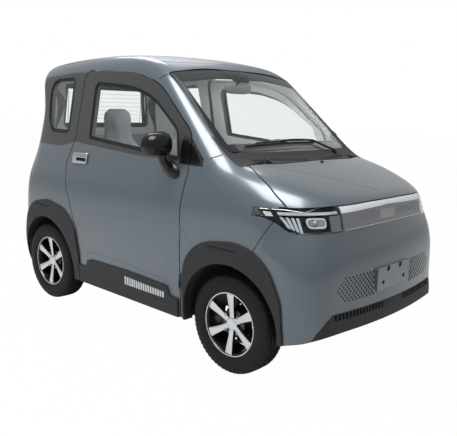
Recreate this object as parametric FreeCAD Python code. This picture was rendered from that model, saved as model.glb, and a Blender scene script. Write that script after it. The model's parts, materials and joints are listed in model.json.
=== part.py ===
# Two-door electric microcar: a hollow cabin of thick panels on a flat floor,
# doors, bonnet and tailgate on hinges, four wheels, steered front knuckles.
# Millimetres, +Z up, the nose points along -Y, the driver sits on the +X side.
# The origin is on the ground, under the middle of the body's length.
import FreeCAD, Part
import math
import os

Vec = FreeCAD.Vector

# Driving dimensions
wheelbase = 1650.0
front_overhang = 536.0
rear_overhang = 440.0
body_width = 1364.0
body_height = 1612.0
track = 1165.0
tyre_radius = 254.0
tyre_width = 145.0
rim_radius = 170.0
wall = 46.0
shut_gap = 6.5
trim_gap = 0.3
trim_proud = 12.0
glass_thickness = 5.0
glass_sunk = 3.0
ground_clearance = 152.0
overrun = 400.0

# Worked out from the driving dimensions
body_length = wheelbase + front_overhang + rear_overhang
front_axle_y = front_overhang - body_length / 2
rear_axle_y = front_axle_y + wheelbase
half_width = body_width / 2
wheel_x = track / 2


def along(share):
    """Lengthwise place: 0 is the front axle, 1 the rear axle, -1 the nose, 2 the tail."""
    if share < 0:
        return front_axle_y + share * front_overhang
    if share > 1:
        return rear_axle_y + (share - 1) * rear_overhang
    return front_axle_y + share * wheelbase


def up(share):
    return share * body_height


def across(share):
    return share * half_width


# Body form: the centre line from the front lip over the roof to the rear bumper,
# as control points of a smooth curve. Each row is the place along, the height,
# how far the line has dropped at the flank, and the radius of the rounded edge.
centre_line_shares = (
    (-0.700, 0.062, 0.060, 0.200),
    (-0.868, 0.110, 0.085, 0.220),
    (-0.989, 0.150, 0.110, 0.220),
    (-1.021, 0.195, 0.125, 0.220),
    (-0.985, 0.254, 0.125, 0.220),
    (-0.972, 0.323, 0.115, 0.230),
    (-0.965, 0.385, 0.115, 0.240),
    (-0.927, 0.447, 0.115, 0.280),
    (-0.886, 0.502, 0.135, 0.370),
    (-0.881, 0.543, 0.130, 0.460),
    (-0.812, 0.565, 0.095, 0.450),
    (-0.644, 0.585, 0.060, 0.360),
    (-0.401, 0.613, 0.055, 0.280),
    (-0.177, 0.635, 0.055, 0.230),
    (-0.028, 0.649, 0.075, 0.190),
    (0.024, 0.670, 0.115, 0.150),
    (0.076, 0.713, 0.140, 0.120),
    (0.167, 0.788, 0.125, 0.105),
    (0.258, 0.864, 0.115, 0.100),
    (0.330, 0.925, 0.100, 0.110),
    (0.385, 0.961, 0.078, 0.125),
    (0.464, 0.985, 0.058, 0.135),
    (0.573, 0.998, 0.058, 0.145),
    (0.742, 1.001, 0.072, 0.155),
    (0.924, 0.994, 0.080, 0.165),
    (1.239, 0.982, 0.080, 0.175),
    (1.534, 0.972, 0.080, 0.190),
    (1.645, 0.962, 0.080, 0.210),
    (1.615, 0.925, 0.090, 0.250),
    (1.572, 0.868, 0.105, 0.300),
    (1.595, 0.775, 0.100, 0.300),
    (1.625, 0.689, 0.100, 0.300),
    (1.735, 0.620, 0.100, 0.300),
    (1.860, 0.558, 0.095, 0.280),
    (1.925, 0.465, 0.085, 0.260),
    (1.966, 0.372, 0.085, 0.270),
    (2.007, 0.298, 0.080, 0.240),
    (2.016, 0.223, 0.080, 0.230),
    (1.966, 0.155, 0.080, 0.230),
    (1.852, 0.093, 0.080, 0.230),
    (1.670, 0.050, 0.080, 0.230),
)
# Height and half width of the flank, from the sill over the belt line to the roof.
flank_shares = (
    (0.000, 0.930),
    (0.124, 0.962),
    (0.186, 0.975),
    (0.279, 0.988),
    (0.372, 0.996),
    (0.465, 1.000),
    (0.527, 0.995),
    (0.589, 0.975),
    (0.651, 0.940),
    (0.713, 0.905),
    (0.806, 0.862),
    (0.900, 0.818),
    (0.962, 0.785),
    (1.100, 0.700),
)
fan_height = 45.0
fan_place = 60.0
form_root = 120.0
edge_power = 2.3
top_spans = 5
edge_spans = 7
side_spans = 8
nose_taper_start_share = 0.25
nose_taper_share = 0.075
tail_taper_start_share = 0.75
tail_taper_share = 0.060


def spline_slopes(rows):
    """Second derivatives of the natural cubic spline through the rows."""
    count = len(rows)
    upper = [0.0] * count
    second = [0.0] * count
    for i in range(1, count - 1):
        before = rows[i][0] - rows[i - 1][0]
        after = rows[i + 1][0] - rows[i][0]
        sigma = before / (before + after)
        pivot = sigma * upper[i - 1] + 2
        upper[i] = (sigma - 1) / pivot
        bend = (rows[i + 1][1] - rows[i][1]) / after - (rows[i][1] - rows[i - 1][1]) / before
        second[i] = (6 * bend / (before + after) - sigma * second[i - 1]) / pivot
    for i in range(count - 2, -1, -1):
        second[i] = upper[i] * second[i + 1] + second[i]
    return second


flank_slopes = spline_slopes(flank_shares)


def flank_share(height_share):
    rows = flank_shares
    height_share = min(max(height_share, rows[0][0]), rows[-1][0])
    i = 0
    while i < len(rows) - 2 and rows[i + 1][0] < height_share:
        i += 1
    gap = rows[i + 1][0] - rows[i][0]
    a = (rows[i + 1][0] - height_share) / gap
    b = 1 - a
    curve = (a ** 3 - a) * flank_slopes[i] + (b ** 3 - b) * flank_slopes[i + 1]
    return a * rows[i][1] + b * rows[i + 1][1] + curve * gap ** 2 / 6


def flank(y, z, grow):
    """Half width of the body at a place along and a height."""
    half = half_width * flank_share(z / body_height)
    nose = max(0.0, along(nose_taper_start_share) - y) / (front_overhang + wheelbase / 4)
    tail = max(0.0, y - along(tail_taper_start_share)) / (rear_overhang + wheelbase / 4)
    half -= half_width * nose_taper_share * nose ** 2
    half -= half_width * tail_taper_share * tail ** 2
    return half + grow


def form_row(row, grow):
    """Poles of one section of the body form, from its middle down to its foot on one side."""
    reach_y = along(row[0]) - fan_place
    reach_z = up(row[1]) - fan_height
    reach = math.hypot(reach_y, reach_z)
    way_y = reach_y / reach
    way_z = reach_z / reach
    reach += grow
    drop = across(row[2])
    edge = across(row[3]) + grow
    stops = [("top", k / top_spans) for k in range(top_spans)]
    stops += [("edge", math.pi / 2 * k / edge_spans) for k in range(edge_spans + 1)]
    stops += [("side", (k + 1) / side_spans) for k in range(side_spans)]
    poles = []
    for kind, value in stops:
        x = 0.0
        for settle in range(8):
            fall = drop * min(1.0, x / half_width) ** 2
            if kind == "top":
                radial = reach - fall
            elif kind == "edge":
                radial = reach - fall - edge * (1 - math.cos(value) ** (2 / edge_power))
            else:
                start = reach - fall - edge
                radial = start + value * (form_root - start)
            here_y = fan_place + way_y * radial
            here_z = fan_height + way_z * radial
            half = flank(here_y, here_z, grow)
            if kind == "top":
                x = value * (half - edge)
            elif kind == "edge":
                x = half - edge * (1 - math.sin(value) ** (2 / edge_power))
            else:
                x = half
        poles.append(Vec(x, here_y, here_z))
    return poles


def clamped(count, degree):
    """Knots and their multiplicities for evenly spaced spans, held at both ends."""
    spans = count - degree
    knots = list(range(spans + 1))
    mults = [degree + 1] + [1] * (spans - 1) + [degree + 1]
    return knots, mults


def body_form(grow):
    """Closed solid of the whole body, grown or shrunk by a distance."""
    grid = []
    for row in centre_line_shares:
        half_row = form_row(row, grow)
        grid.append([Vec(-p.x, p.y, p.z) for p in reversed(half_row)] + half_row[1:])
    degree = 3
    u_knots, u_mults = clamped(len(grid), degree)
    v_knots, v_mults = clamped(len(grid[0]), degree)
    surface = Part.BSplineSurface()
    surface.buildFromPolesMultsKnots(grid, u_mults, v_mults, u_knots, v_knots, False, False, degree, degree)
    skin = surface.toShape()
    u_first, u_last, v_first, v_last = surface.bounds()
    left_foot = surface.vIso(v_first).toShape()
    right_foot = surface.vIso(v_last).toShape()
    faces = [skin, Part.makeRuledSurface(left_foot, right_foot)]
    for end in (u_first, u_last):
        section = surface.uIso(end).toShape()
        tips = section.Vertexes
        closing = Part.makeLine(tips[0].Point, tips[-1].Point)
        faces.append(Part.Face(Part.Wire([section, closing])))
    shell = Part.Shell(faces)
    shell.sewShape()
    solid = Part.Solid(shell)
    if solid.Volume < 0:
        solid.reverse()
    return solid


def outline(points, radii, grow=0.0):
    """Corners of a closed flat outline, rounded, and moved outward by a distance."""
    count = len(points)
    area = sum(points[i][0] * points[(i + 1) % count][1] - points[(i + 1) % count][0] * points[i][1]
               for i in range(count))
    if area < 0:
        points = list(reversed(points))
        radii = list(reversed(radii))
    sides = []
    for i in range(count):
        a = points[i]
        b = points[(i + 1) % count]
        size = math.hypot(b[0] - a[0], b[1] - a[1])
        way = ((b[0] - a[0]) / size, (b[1] - a[1]) / size)
        sides.append(((a[0] + way[1] * grow, a[1] - way[0] * grow), way))
    corners = []
    for i in range(count):
        (p, d) = sides[i - 1]
        (q, e) = sides[i]
        cross = d[0] * e[1] - d[1] * e[0]
        t = ((q[0] - p[0]) * e[1] - (q[1] - p[1]) * e[0]) / cross
        corner = (p[0] + d[0] * t, p[1] + d[1] * t)
        turn = math.atan2(cross, d[0] * e[0] + d[1] * e[1])
        radius = radii[i]
        if radius:
            radius = max(0.0, radius + grow if turn > 0 else radius - grow)
        reach = radius * math.tan(abs(turn) / 2)
        start = (corner[0] - d[0] * reach, corner[1] - d[1] * reach)
        end = (corner[0] + e[0] * reach, corner[1] + e[1] * reach)
        inset = radius * (1 / math.cos(turn / 2) - 1)
        out = (d[0] - e[0], d[1] - e[1])
        size = math.hypot(out[0], out[1])
        middle = (corner[0] - out[0] / size * inset, corner[1] - out[1] / size * inset)
        corners.append((start, middle, end, radius > 0))
    return corners


def prism(points, radii, plane, low, high, grow=0.0):
    """Solid of a rounded outline drawn in side, front or top view, from low to high."""
    def place(point):
        if plane == "side":
            return Vec(low, point[0], point[1])
        if plane == "front":
            return Vec(point[0], low, point[1])
        return Vec(point[0], point[1], low)

    corners = outline(points, radii, grow)
    edges = []
    for i, (start, middle, end, rounded) in enumerate(corners):
        if rounded:
            edges.append(Part.Arc(place(start), place(middle), place(end)).toShape())
        following = corners[(i + 1) % len(corners)][0]
        if math.hypot(following[0] - end[0], following[1] - end[1]) > 1e-6:
            edges.append(Part.LineSegment(place(end), place(following)).toShape())
    face = Part.Face(Part.Wire(edges))
    way = {"side": Vec(high - low, 0, 0), "front": Vec(0, high - low, 0), "top": Vec(0, 0, high - low)}
    return face.extrude(way[plane])


def mirrored(shape):
    return shape.mirror(Vec(0, 0, 0), Vec(1, 0, 0))


def both(shape):
    return shape.fuse(mirrored(shape))


def pair(shape):
    """A piece and its twin on the other side, as two solids in one shape."""
    return Part.makeCompound(shape.Solids + mirrored(shape).Solids)


# Cut-off scraps below these volumes, in cubic millimetres, are left out
sliver = 1000.0
offcut = 100000.0


def main_solids(shape, least):
    """The solids of a shape that are larger than a sliver."""
    kept = [solid for solid in shape.Solids if solid.Volume > least]
    return kept[0] if len(kept) == 1 else Part.makeCompound(kept)


def block(low, high):
    return Part.makeBox(high[0] - low[0], high[1] - low[1], high[2] - low[2], Vec(*low))


def rod(start, end, radius):
    way = Vec(*end) - Vec(*start)
    return Part.makeCylinder(radius, way.Length, Vec(*start), way)


def fused(pieces):
    return pieces[0].multiFuse(pieces[1:]).removeSplitter()


def side_prism(shares, low, high, grow=0.0):
    points = [(along(row[0]), up(row[1])) for row in shares]
    return prism(points, [up(row[2]) for row in shares], "side", low, high, grow)


def front_prism(shares, low, high, grow=0.0):
    points = [(across(row[0]), up(row[1])) for row in shares]
    return prism(points, [across(row[2]) for row in shares], "front", low, high, grow)


def top_prism(shares, low, high, grow=0.0):
    points = [(across(row[0]), along(row[1])) for row in shares]
    return prism(points, [across(row[2]) for row in shares], "top", low, high, grow)


def closed_half(shares):
    """A right half outline, drawn from the middle plane, with its mirror image."""
    left = [(-row[0],) + tuple(row[1:]) for row in reversed(shares)]
    return tuple(shares) + tuple(left)


nodes = {}
far = half_width + overrun
nose_end = along(-1) - overrun
tail_end = along(2) + overrun
top_end = body_height + overrun

# The body is the form less its inside, its underside and the four wheel wells
arch_radius = 300.0
arch_height = 264.0
rear_arch_radius = 322.0
rear_arch_height = 240.0
rear_arch_shift = 12.0
front_well_depth = 325.0
rear_well_width = 195.0
liner = 6.0
underside_shares = (
    (-1.60, -0.20, 0), (-1.60, 0.186, 0), (-0.945, 0.186, 0.05), (-0.775, 0.1634, 0.05), (-0.589, 0.1450, 0.02),
    (-0.500, 0.1450, 0.02), (-0.300, 0.127, 0.02), (1.80, 0.127, 0.02),
    (2.05, 0.150, 0.01), (2.60, 0.150, 0), (2.60, -0.20, 0),
)


def front_well(inside_x, more):
    """Right-hand round space about the front wheel, from a depth out past the body."""
    start = Vec(-far, front_axle_y, arch_height)
    return Part.makeCylinder(arch_radius + more, far - inside_x, start, Vec(1, 0, 0))


def rear_well(inside_x, more):
    """Right-hand round space about the rear wheel, which sits a little behind its middle."""
    start = Vec(-far, rear_axle_y - rear_arch_shift, rear_arch_height)
    return Part.makeCylinder(rear_arch_radius + more, far - inside_x, start, Vec(1, 0, 0))


outer = body_form(0)
underside = side_prism(underside_shares, -far, far)
front_well_x = half_width - front_well_depth
rear_well_x = half_width - rear_well_width
wells = both(front_well(front_well_x, 0).fuse(rear_well(rear_well_x, 0)))
hollow = body_form(-wall)
shell = outer.cut([hollow, underside, wells])

# Glass apertures
windscreen_shares = closed_half((
    (-0.800, 0.672, 0.06), (-0.768, 0.922, 0.04), (-0.400, 0.944, 2.0),
))
rear_window_shares = closed_half((
    (-0.560, 0.700, 0.05), (-0.520, 0.890, 0.05),
))
window_shares = (
    (0.228, 0.640, 0.015), (0.257, 0.741, 0.05), (0.396, 0.841, 0.30), (0.516, 0.876, 0.50),
    (0.742, 0.892, 0.030), (0.730, 0.680, 0.015),
)
quarter_shares = (
    (0.864, 0.692, 0.030), (0.877, 0.908, 0.025), (1.170, 0.901, 0.050), (1.182, 0.8175, 0.080),
    (1.125, 0.7450, 0.060), (1.000, 0.6935, 0.050),
)
screen_end = along(0.62)
rear_glass_start = along(1.30)
windscreen_cut = front_prism(windscreen_shares, nose_end, screen_end)
rear_window_cut = front_prism(rear_window_shares, rear_glass_start, tail_end)
cabin_side = 250.0
quarter_cut = side_prism(quarter_shares, -far, -cabin_side)
glass_layer = body_form(-glass_sunk).cut(body_form(-glass_sunk - glass_thickness))
nodes["windscreen"] = glass_layer.common(front_prism(windscreen_shares, nose_end, screen_end, -trim_gap))
rear_glass_zone = front_prism(rear_window_shares, rear_glass_start, tail_end, -trim_gap)
nodes["rear_glass"] = glass_layer.common(rear_glass_zone)
right_glass = glass_layer.common(block((-far, nose_end, 0), (-cabin_side, tail_end, top_end)))
nodes["door_glass_right"] = right_glass.common(side_prism(window_shares, -far, -cabin_side, -trim_gap))
nodes["quarter_glass"] = pair(right_glass.common(side_prism(quarter_shares, -far, -cabin_side, -trim_gap)))

# Front zone: bonnet, light bar, headlamps, front bumper, front lip, cowl and fenders
front_zone_end = along(0.30)
front_shell = shell.common(block((-far, nose_end, 0), (far, front_zone_end, top_end))).cut(windscreen_cut)
bonnet_shares = closed_half((
    (-0.200, -0.072, 0.20), (-0.460, -0.052, 0.30), (-0.738, 0.016, 0.03), (-0.806, -0.15, 0.20),
    (-0.850, -0.40, 0.20), (-0.852, -1.20, 0),
))
bonnet_edge_shares = closed_half((
    (-0.200, 0.5504, 0.20), (-0.578, 0.5465, 0.20), (-1.200, 0.5316, 0), (-1.200, 0.90, 0),
))
bonnet_low = up(0.50)
light_bar_shares = closed_half((
    (-0.200, 0.4785, 0.30), (-0.552, 0.4745, 0.01), (-0.572, 0.5500, 0.01),
))
lamp_shares = (
    (-0.556, 0.4738, 0.01), (-0.576, 0.5500, 0.01), (-0.845, 0.5430, 0), (-0.860, 0.5362, 0.01),
    (-1.100, 0.5345, 0), (-1.100, 0.5105, 0), (-0.948, 0.5105, 0.02), (-0.915, 0.4940, 0.03),
    (-0.880, 0.4700, 0.05), (-0.700, 0.4705, 0.20),
)
lamp_end = along(-0.245)
fixed_gap = 0.3
lip_shares = closed_half((
    (-0.705, 0.2437, 0.012), (-0.765, 0.2255, 0.02), (-0.825, 0.1955, 0.02), (-0.862, 0.1600, 0), (-0.862, 0.05, 0),
))
lip_end = along(-0.60)
slot_low = up(0.2222)
slot_high = up(0.2413)
slot_pitch = 25.0
slot_width = 17.0
slot_depth_share = 0.90
slot_first = across(0.150)
slot_last = across(0.695)
bumper_shares = (
    (-1.50, 0.05, 0), (-1.50, 0.541, 0), (-0.46, 0.541, 0), (-0.455, 0.505, 0.02), (-0.265, 0.397, 0),
    (-0.20, 0.250, 0), (-0.20, 0.05, 0),
)
cowl_shares = closed_half((
    (-0.820, 0.160, 0.02), (-0.820, 0.020, 0.02), (-0.460, -0.090, 0.30), (-0.200, -0.110, 0.20),
))
fender_top_shares = (
    (-1.60, -0.10, 0), (-1.60, 0.655, 0), (0.20, 0.655, 0), (0.60, 0.620, 0), (0.60, -0.10, 0),
)
door_shares = (
    (0.203, 0.1275, 0), (0.203, 0.500, 0.10), (0.185, 0.610, 0.10), (0.192, 0.722, 0.08),
    (0.380, 0.883, 0.25), (0.536, 0.924, 0.50), (0.812, 0.930, 0.035), (0.812, 0.670, 0.10),
    (0.847, 0.580, 0.06), (0.843, 0.500, 0.10), (0.785, 0.350, 0.20), (0.760, 0.230, 0.10), (0.762, 0.1275, 0),
)
door_inset = 24.0
door_skin = 24.0
bonnet_skin = 24.0
door_opening = side_prism(door_shares, -far, -cabin_side, shut_gap)
bonnet_layer = outer.cut(body_form(-bonnet_skin))
bonnet_zone = top_prism(bonnet_shares, bonnet_low, top_end).common(
    front_prism(bonnet_edge_shares, nose_end, front_zone_end))
bonnet_room = top_prism(bonnet_shares, bonnet_low, top_end, shut_gap).common(
    front_prism(bonnet_edge_shares, nose_end, front_zone_end, shut_gap))
nodes["bonnet"] = bonnet_layer.common(bonnet_zone)
front_shell = front_shell.cut([bonnet_room, both(door_opening)])
light_bar_zone = front_prism(light_bar_shares, nose_end, lamp_end)
nodes["light_bar"] = front_shell.common(light_bar_zone)
lamp_zone = front_prism(lamp_shares, nose_end, lamp_end)
nodes["headlamps"] = pair(front_shell.common(lamp_zone))
rest = front_shell.cut([front_prism(light_bar_shares, nose_end, lamp_end, fixed_gap),
                        both(front_prism(lamp_shares, nose_end, lamp_end, fixed_gap))])
nodes["cowl"] = rest.common(top_prism(cowl_shares, bonnet_low, up(0.72)))
rest = rest.cut(top_prism(cowl_shares, bonnet_low, up(0.72), fixed_gap))
slots = []
slot_x = slot_first
while slot_x + slot_width < slot_last:
    slots.append(both(block((slot_x, nose_end, slot_low), (slot_x + slot_width, along(-slot_depth_share), slot_high))))
    slot_x += slot_pitch
nodes["front_lip"] = rest.common(front_prism(lip_shares, nose_end, lip_end)).cut(slots)
rest = rest.cut(front_prism(lip_shares, nose_end, lip_end + fixed_gap, fixed_gap))
plate_shares = closed_half(((-0.235, 0.2760, 0.012), (-0.235, 0.3487, 0.012)))
plate_face_y = along(-0.985)
plate_depth = 30.0
plate_hole_x = 103.0
plate_hole_z = 484.0
plate_hole_radius = 3.3
plate_hole_depth = 20.0
bumper = rest.common(side_prism(bumper_shares, -far, far))
bumper = bumper.fuse(front_prism(plate_shares, plate_face_y, plate_face_y + plate_depth)).removeSplitter()
plate_hole = Part.makeCylinder(plate_hole_radius, plate_hole_depth, Vec(-plate_hole_x, plate_face_y, plate_hole_z),
                               Vec(0, 1, 0))
nodes["front_bumper"] = main_solids(bumper.cut(both(plate_hole)), offcut)
rest = rest.cut(side_prism(bumper_shares, -far, far, fixed_gap))
fenders = rest.common(side_prism(fender_top_shares, -far, far))
pillars = rest.cut(side_prism(fender_top_shares, -far, far, fixed_gap))

# Cabin zone: roof, tailgate, rear bumper, tail lamps and the two body sides
cabin_shell = shell.common(block((-far, front_zone_end, 0), (far, tail_end, top_end)))
cabin_shell = cabin_shell.cut([windscreen_cut, rear_window_cut, both(quarter_cut)])
tailgate_shares = closed_half((
    (-0.640, 0.440, 0.05), (-0.640, 0.700, 0.20), (-0.580, 1.100, 0.03),
))
tailgate_start = along(1.500)
roof_shares = closed_half(((-0.700, 0.20, 0.02), (-0.700, 1.900, 0.02)))
roof_low = up(0.925)
tailgate_zone = front_prism(tailgate_shares, tailgate_start, tail_end)
nodes["tailgate"] = cabin_shell.common(tailgate_zone)
cabin_shell = cabin_shell.cut(front_prism(tailgate_shares, tailgate_start - shut_gap, tail_end, shut_gap))
roof_zone = top_prism(roof_shares, roof_low, top_end)
roof_half = shell.common(roof_zone).cut([windscreen_cut, front_prism(tailgate_shares, tailgate_start - shut_gap,
                                                                    tail_end, shut_gap)])
nodes["roof"] = roof_half
roof_cut = top_prism(roof_shares, roof_low - fixed_gap, top_end, fixed_gap)
lamp_rear_shares = (
    (-1.20, 0.490, 0), (-1.20, 0.615, 0), (-0.680, 0.615, 0.02), (-0.680, 0.490, 0.02),
)
lamp_rear_start = along(1.640)
tail_zone = front_prism(lamp_rear_shares, lamp_rear_start, tail_end)
nodes["tail_lamps"] = pair(cabin_shell.common(tail_zone))
cabin_shell = cabin_shell.cut(both(front_prism(lamp_rear_shares, lamp_rear_start - fixed_gap, tail_end, fixed_gap)))
rear_bumper_shares = (
    (1.650, 0.05, 0), (1.650, 0.430, 0), (2.50, 0.430, 0), (2.50, 0.05, 0),
)
nodes["rear_bumper"] = cabin_shell.common(side_prism(rear_bumper_shares, -far, far))
cabin_shell = cabin_shell.cut([side_prism(rear_bumper_shares, -far, far, fixed_gap), roof_cut, both(door_opening)])
sides = pillars.cut(roof_cut).fuse(cabin_shell).removeSplitter()
nodes["body_sides"] = sides
nodes["fenders"] = fenders

# Doors: an outer skin out to the shut line, and an inner box set in from it
door_zone = side_prism(door_shares, -far, -cabin_side)
side_shell = shell.common(block((-far, nose_end, 0), (-cabin_side, tail_end, top_end)))
side_skin = side_shell.cut(body_form(-door_skin))
door_box = side_shell.common(side_prism(door_shares, -far, -cabin_side, -door_inset))
door = side_skin.common(door_zone).fuse(door_box).cut(side_prism(window_shares, -far, -cabin_side)).removeSplitter()

# Door handle: a rounded plate that stands off the skin near the rear shut line
handle_shares = (
    (0.712, 0.588, 0.010), (0.712, 0.631, 0.010), (0.805, 0.626, 0.010), (0.803, 0.584, 0.010),
)
handle_proud = 8.0
handle_bite = 4.0
handle_layer = body_form(handle_proud).cut(body_form(-handle_bite))
door = door.fuse(handle_layer.common(side_prism(handle_shares, -far, -cabin_side))).removeSplitter()

# Door hinge: two barrels in the front shut gap, one part on the door, one on the fender
hinge_play = 0.15
hinge_radius = shut_gap / 2 - hinge_play
hinge_x = -half_width + 0.5
hinge_y = along(door_shares[0][0]) - shut_gap / 2
hinge_heights = (370.0, 630.0)
hinge_length = 40.0
hinge_bite = 3.0
hinge_web = 22.0


def door_knuckle(low, way):
    """Barrel on the door hinge's axis with a web to the door or to the fender."""
    barrel = rod((hinge_x, hinge_y, low), (hinge_x, hinge_y, low + hinge_length), hinge_radius)
    edge = hinge_y + way * (shut_gap / 2 + hinge_bite)
    web = block((hinge_x, min(edge, hinge_y), low), (hinge_x + hinge_web, max(edge, hinge_y), low + hinge_length))
    return barrel.fuse(web)


door_knuckles = [door_knuckle(height, 1) for height in hinge_heights]
fender_knuckles = [both(door_knuckle(height + hinge_length + trim_gap, -1)) for height in hinge_heights]
nodes["door_right"] = door.multiFuse(door_knuckles).removeSplitter()
nodes["fenders"] = fenders.multiFuse(fender_knuckles).removeSplitter()

# Bonnet hinge: a pin at each rear corner, its end facing the fender across the shut gap
bonnet_pin_radius = 3.0
bonnet_pin_inset = 14.0
bonnet_pin_sink = 5.0
bonnet_pin_root = 25.0
bonnet_corner = bonnet_shares[2]


def far_x(shape, y, z):
    """Outermost place on the right where a line across the car leaves a shape."""
    return shape.common(Part.makeLine(Vec(-far, y, z), Vec(0, y, z))).BoundBox.XMin


def skin_top(x, y):
    """Height of the body's skin at a place in top view."""
    return outer.common(Part.makeLine(Vec(x, y, bonnet_low), Vec(x, y, top_end))).BoundBox.ZMax


bonnet_pin_x = across(bonnet_corner[0])
bonnet_pin_y = along(bonnet_corner[1]) - bonnet_pin_inset
bonnet_pin_z = skin_top(bonnet_pin_x, bonnet_pin_y) - bonnet_pin_sink
bonnet_pin_end = far_x(bonnet_room, bonnet_pin_y + bonnet_pin_radius, bonnet_pin_z) + trim_gap
bonnet_pin = rod((bonnet_pin_x + bonnet_pin_root, bonnet_pin_y, bonnet_pin_z),
                 (bonnet_pin_end, bonnet_pin_y, bonnet_pin_z), bonnet_pin_radius)
nodes["bonnet"] = nodes["bonnet"].fuse(both(bonnet_pin)).removeSplitter()

# The cowl's front corners are cut back, where the bonnet's rear edge swings down beside its hinge pins
swing_relief_low = (355.0, -800.0, 1012.0)
swing_relief_high = (490.0, -748.0, 1060.0)
nodes["cowl"] = nodes["cowl"].cut(both(block(swing_relief_low, swing_relief_high)))

# Tailgate hinge: barrels in the shut gap behind the roof
tail_hinge_y = tailgate_start - shut_gap / 2
tail_hinge_z = skin_top(0, tail_hinge_y)
tail_hinge_x = 140.0


def tail_knuckle(start_x, way):
    """Barrel on the tailgate hinge's axis with a web to the tailgate or to the roof."""
    barrel = rod((start_x, tail_hinge_y, tail_hinge_z), (start_x - hinge_length, tail_hinge_y, tail_hinge_z), hinge_radius)
    edge = tail_hinge_y + way * (shut_gap / 2 + hinge_bite)
    web = block((start_x - hinge_length, min(edge, tail_hinge_y), tail_hinge_z - hinge_web),
                (start_x, max(edge, tail_hinge_y), tail_hinge_z))
    return both(barrel.fuse(web))


nodes["tailgate"] = nodes["tailgate"].fuse(tail_knuckle(-tail_hinge_x, 1)).removeSplitter()
nodes["roof"] = nodes["roof"].fuse(tail_knuckle(-tail_hinge_x - hinge_length - trim_gap, -1)).removeSplitter()
print("door hinge", hinge_x, hinge_y)
print("bonnet hinge", bonnet_pin_y, bonnet_pin_z)
print("tailgate hinge", tail_hinge_y, tail_hinge_z)


# Dark trims that stand proud of the body: wheel arch flares and door claddings
trim_layer = body_form(trim_proud).cut(body_form(trim_gap))
trim_side = trim_layer.common(block((-far, nose_end, 0), (-cabin_side, tail_end, top_end)))
flare_front_shares = (
    (-1.30, 0.60, 0), (-1.235, 1.72, 0.80), (-0.86, 2.55, 1.00), (-0.10, 2.68, 1.20), (0.72, 2.56, 0.90),
    (1.17, 2.12, 0.80), (1.22, 1.50, 0.30), (1.22, 0.60, 0),
)
flare_rear_shares = (
    (-1.57, 0.60, 0), (-1.57, 1.50, 0.40), (-1.40, 2.16, 0.98), (-0.92, 2.56, 0.98), (-0.10, 2.68, 1.20),
    (0.60, 2.56, 1.10), (1.10, 2.10, 1.10), (1.34, 1.30, 0.50), (1.36, 0.60, 0),
)


def flare(axle_y, shares):
    """Right-hand flare about an axle, drawn in shares of the tyre's radius."""
    points = [(axle_y + row[0] * tyre_radius, row[1] * tyre_radius) for row in shares]
    return prism(points, [row[2] * tyre_radius for row in shares], "side", -far, -cabin_side)


flare_front = trim_side.common(flare(front_axle_y, flare_front_shares)).cut([underside, door_opening, wells])
flare_rear = trim_side.common(flare(rear_axle_y, flare_rear_shares)).cut([underside, door_opening, wells])
flare_pieces = [main_solids(piece, sliver) for piece in (flare_front, flare_rear)]
nodes["arch_flares"] = Part.makeCompound([solid for piece in flare_pieces for solid in pair(piece).Solids])
cladding_shares = (
    (0.210, 0.1275, 0), (0.210, 0.1900, 0), (0.246, 0.1925, 0.006), (0.262, 0.2235, 0.012), (0.481, 0.2306, 0.30),
    (0.700, 0.2270, 0.012), (0.716, 0.1962, 0.006), (0.7605, 0.1945, 0), (0.762, 0.1275, 0),
)
cladding = trim_side.common(side_prism(cladding_shares, -far, -cabin_side)).cut(underside)
nodes["door_cladding_right"] = cladding

# Platform: floor, sills, bulkhead, wheel liners and front rails
floor_sheet = 28.0
floor_low = 215.0
seat_floor = 318.0
deck_height = 505.0
floor_half = 575.0
bulkhead_y = along(0.155)
seat_step_y = along(0.375)
deck_step_y = along(0.862)
deck_end_y = along(1.72)
bulkhead_top = up(0.625)
sheet_path = (
    (bulkhead_y, bulkhead_top), (bulkhead_y, floor_low), (seat_step_y, floor_low), (seat_step_y, seat_floor),
    (deck_step_y, seat_floor), (deck_step_y, deck_height), (deck_end_y, deck_height),
    (deck_end_y, deck_height + floor_sheet), (deck_step_y - floor_sheet, deck_height + floor_sheet),
    (deck_step_y - floor_sheet, seat_floor + floor_sheet), (seat_step_y - floor_sheet, seat_floor + floor_sheet),
    (seat_step_y - floor_sheet, floor_low + floor_sheet), (bulkhead_y + floor_sheet, floor_low + floor_sheet),
    (bulkhead_y + floor_sheet, bulkhead_top),
)
floor_panel = prism(sheet_path, [0] * len(sheet_path), "side", -far, far)
sill_half = half_width - wall - 8.0
sill_inside = 520.0
sill_top = 330.0
sill = block((-sill_half, bulkhead_y, floor_low), (-sill_inside, deck_step_y, sill_top))
rail_outside = 285.0
rail_inside = 235.0
rail_low = 300.0
rail_top = 360.0
beam_depth = 30.0
rail = block((-rail_outside, nose_end, rail_low), (-rail_inside, bulkhead_y + floor_sheet, rail_top))
beam_y = along(-0.86)
beam = block((-rail_outside, nose_end, rail_low), (rail_outside, beam_y, rail_top))


def well_liner(skin, axle_y, window_half, window_top):
    """Sheet round a wheel well, with an inner wall that is open low down for the axle."""
    window = block((-far, axle_y - window_half, -overrun), (far, axle_y + window_half, window_top))
    below = block((-far, axle_y - arch_radius * 2, -overrun), (far, axle_y + arch_radius * 2, floor_low))
    return skin.cut([window, below])


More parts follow.
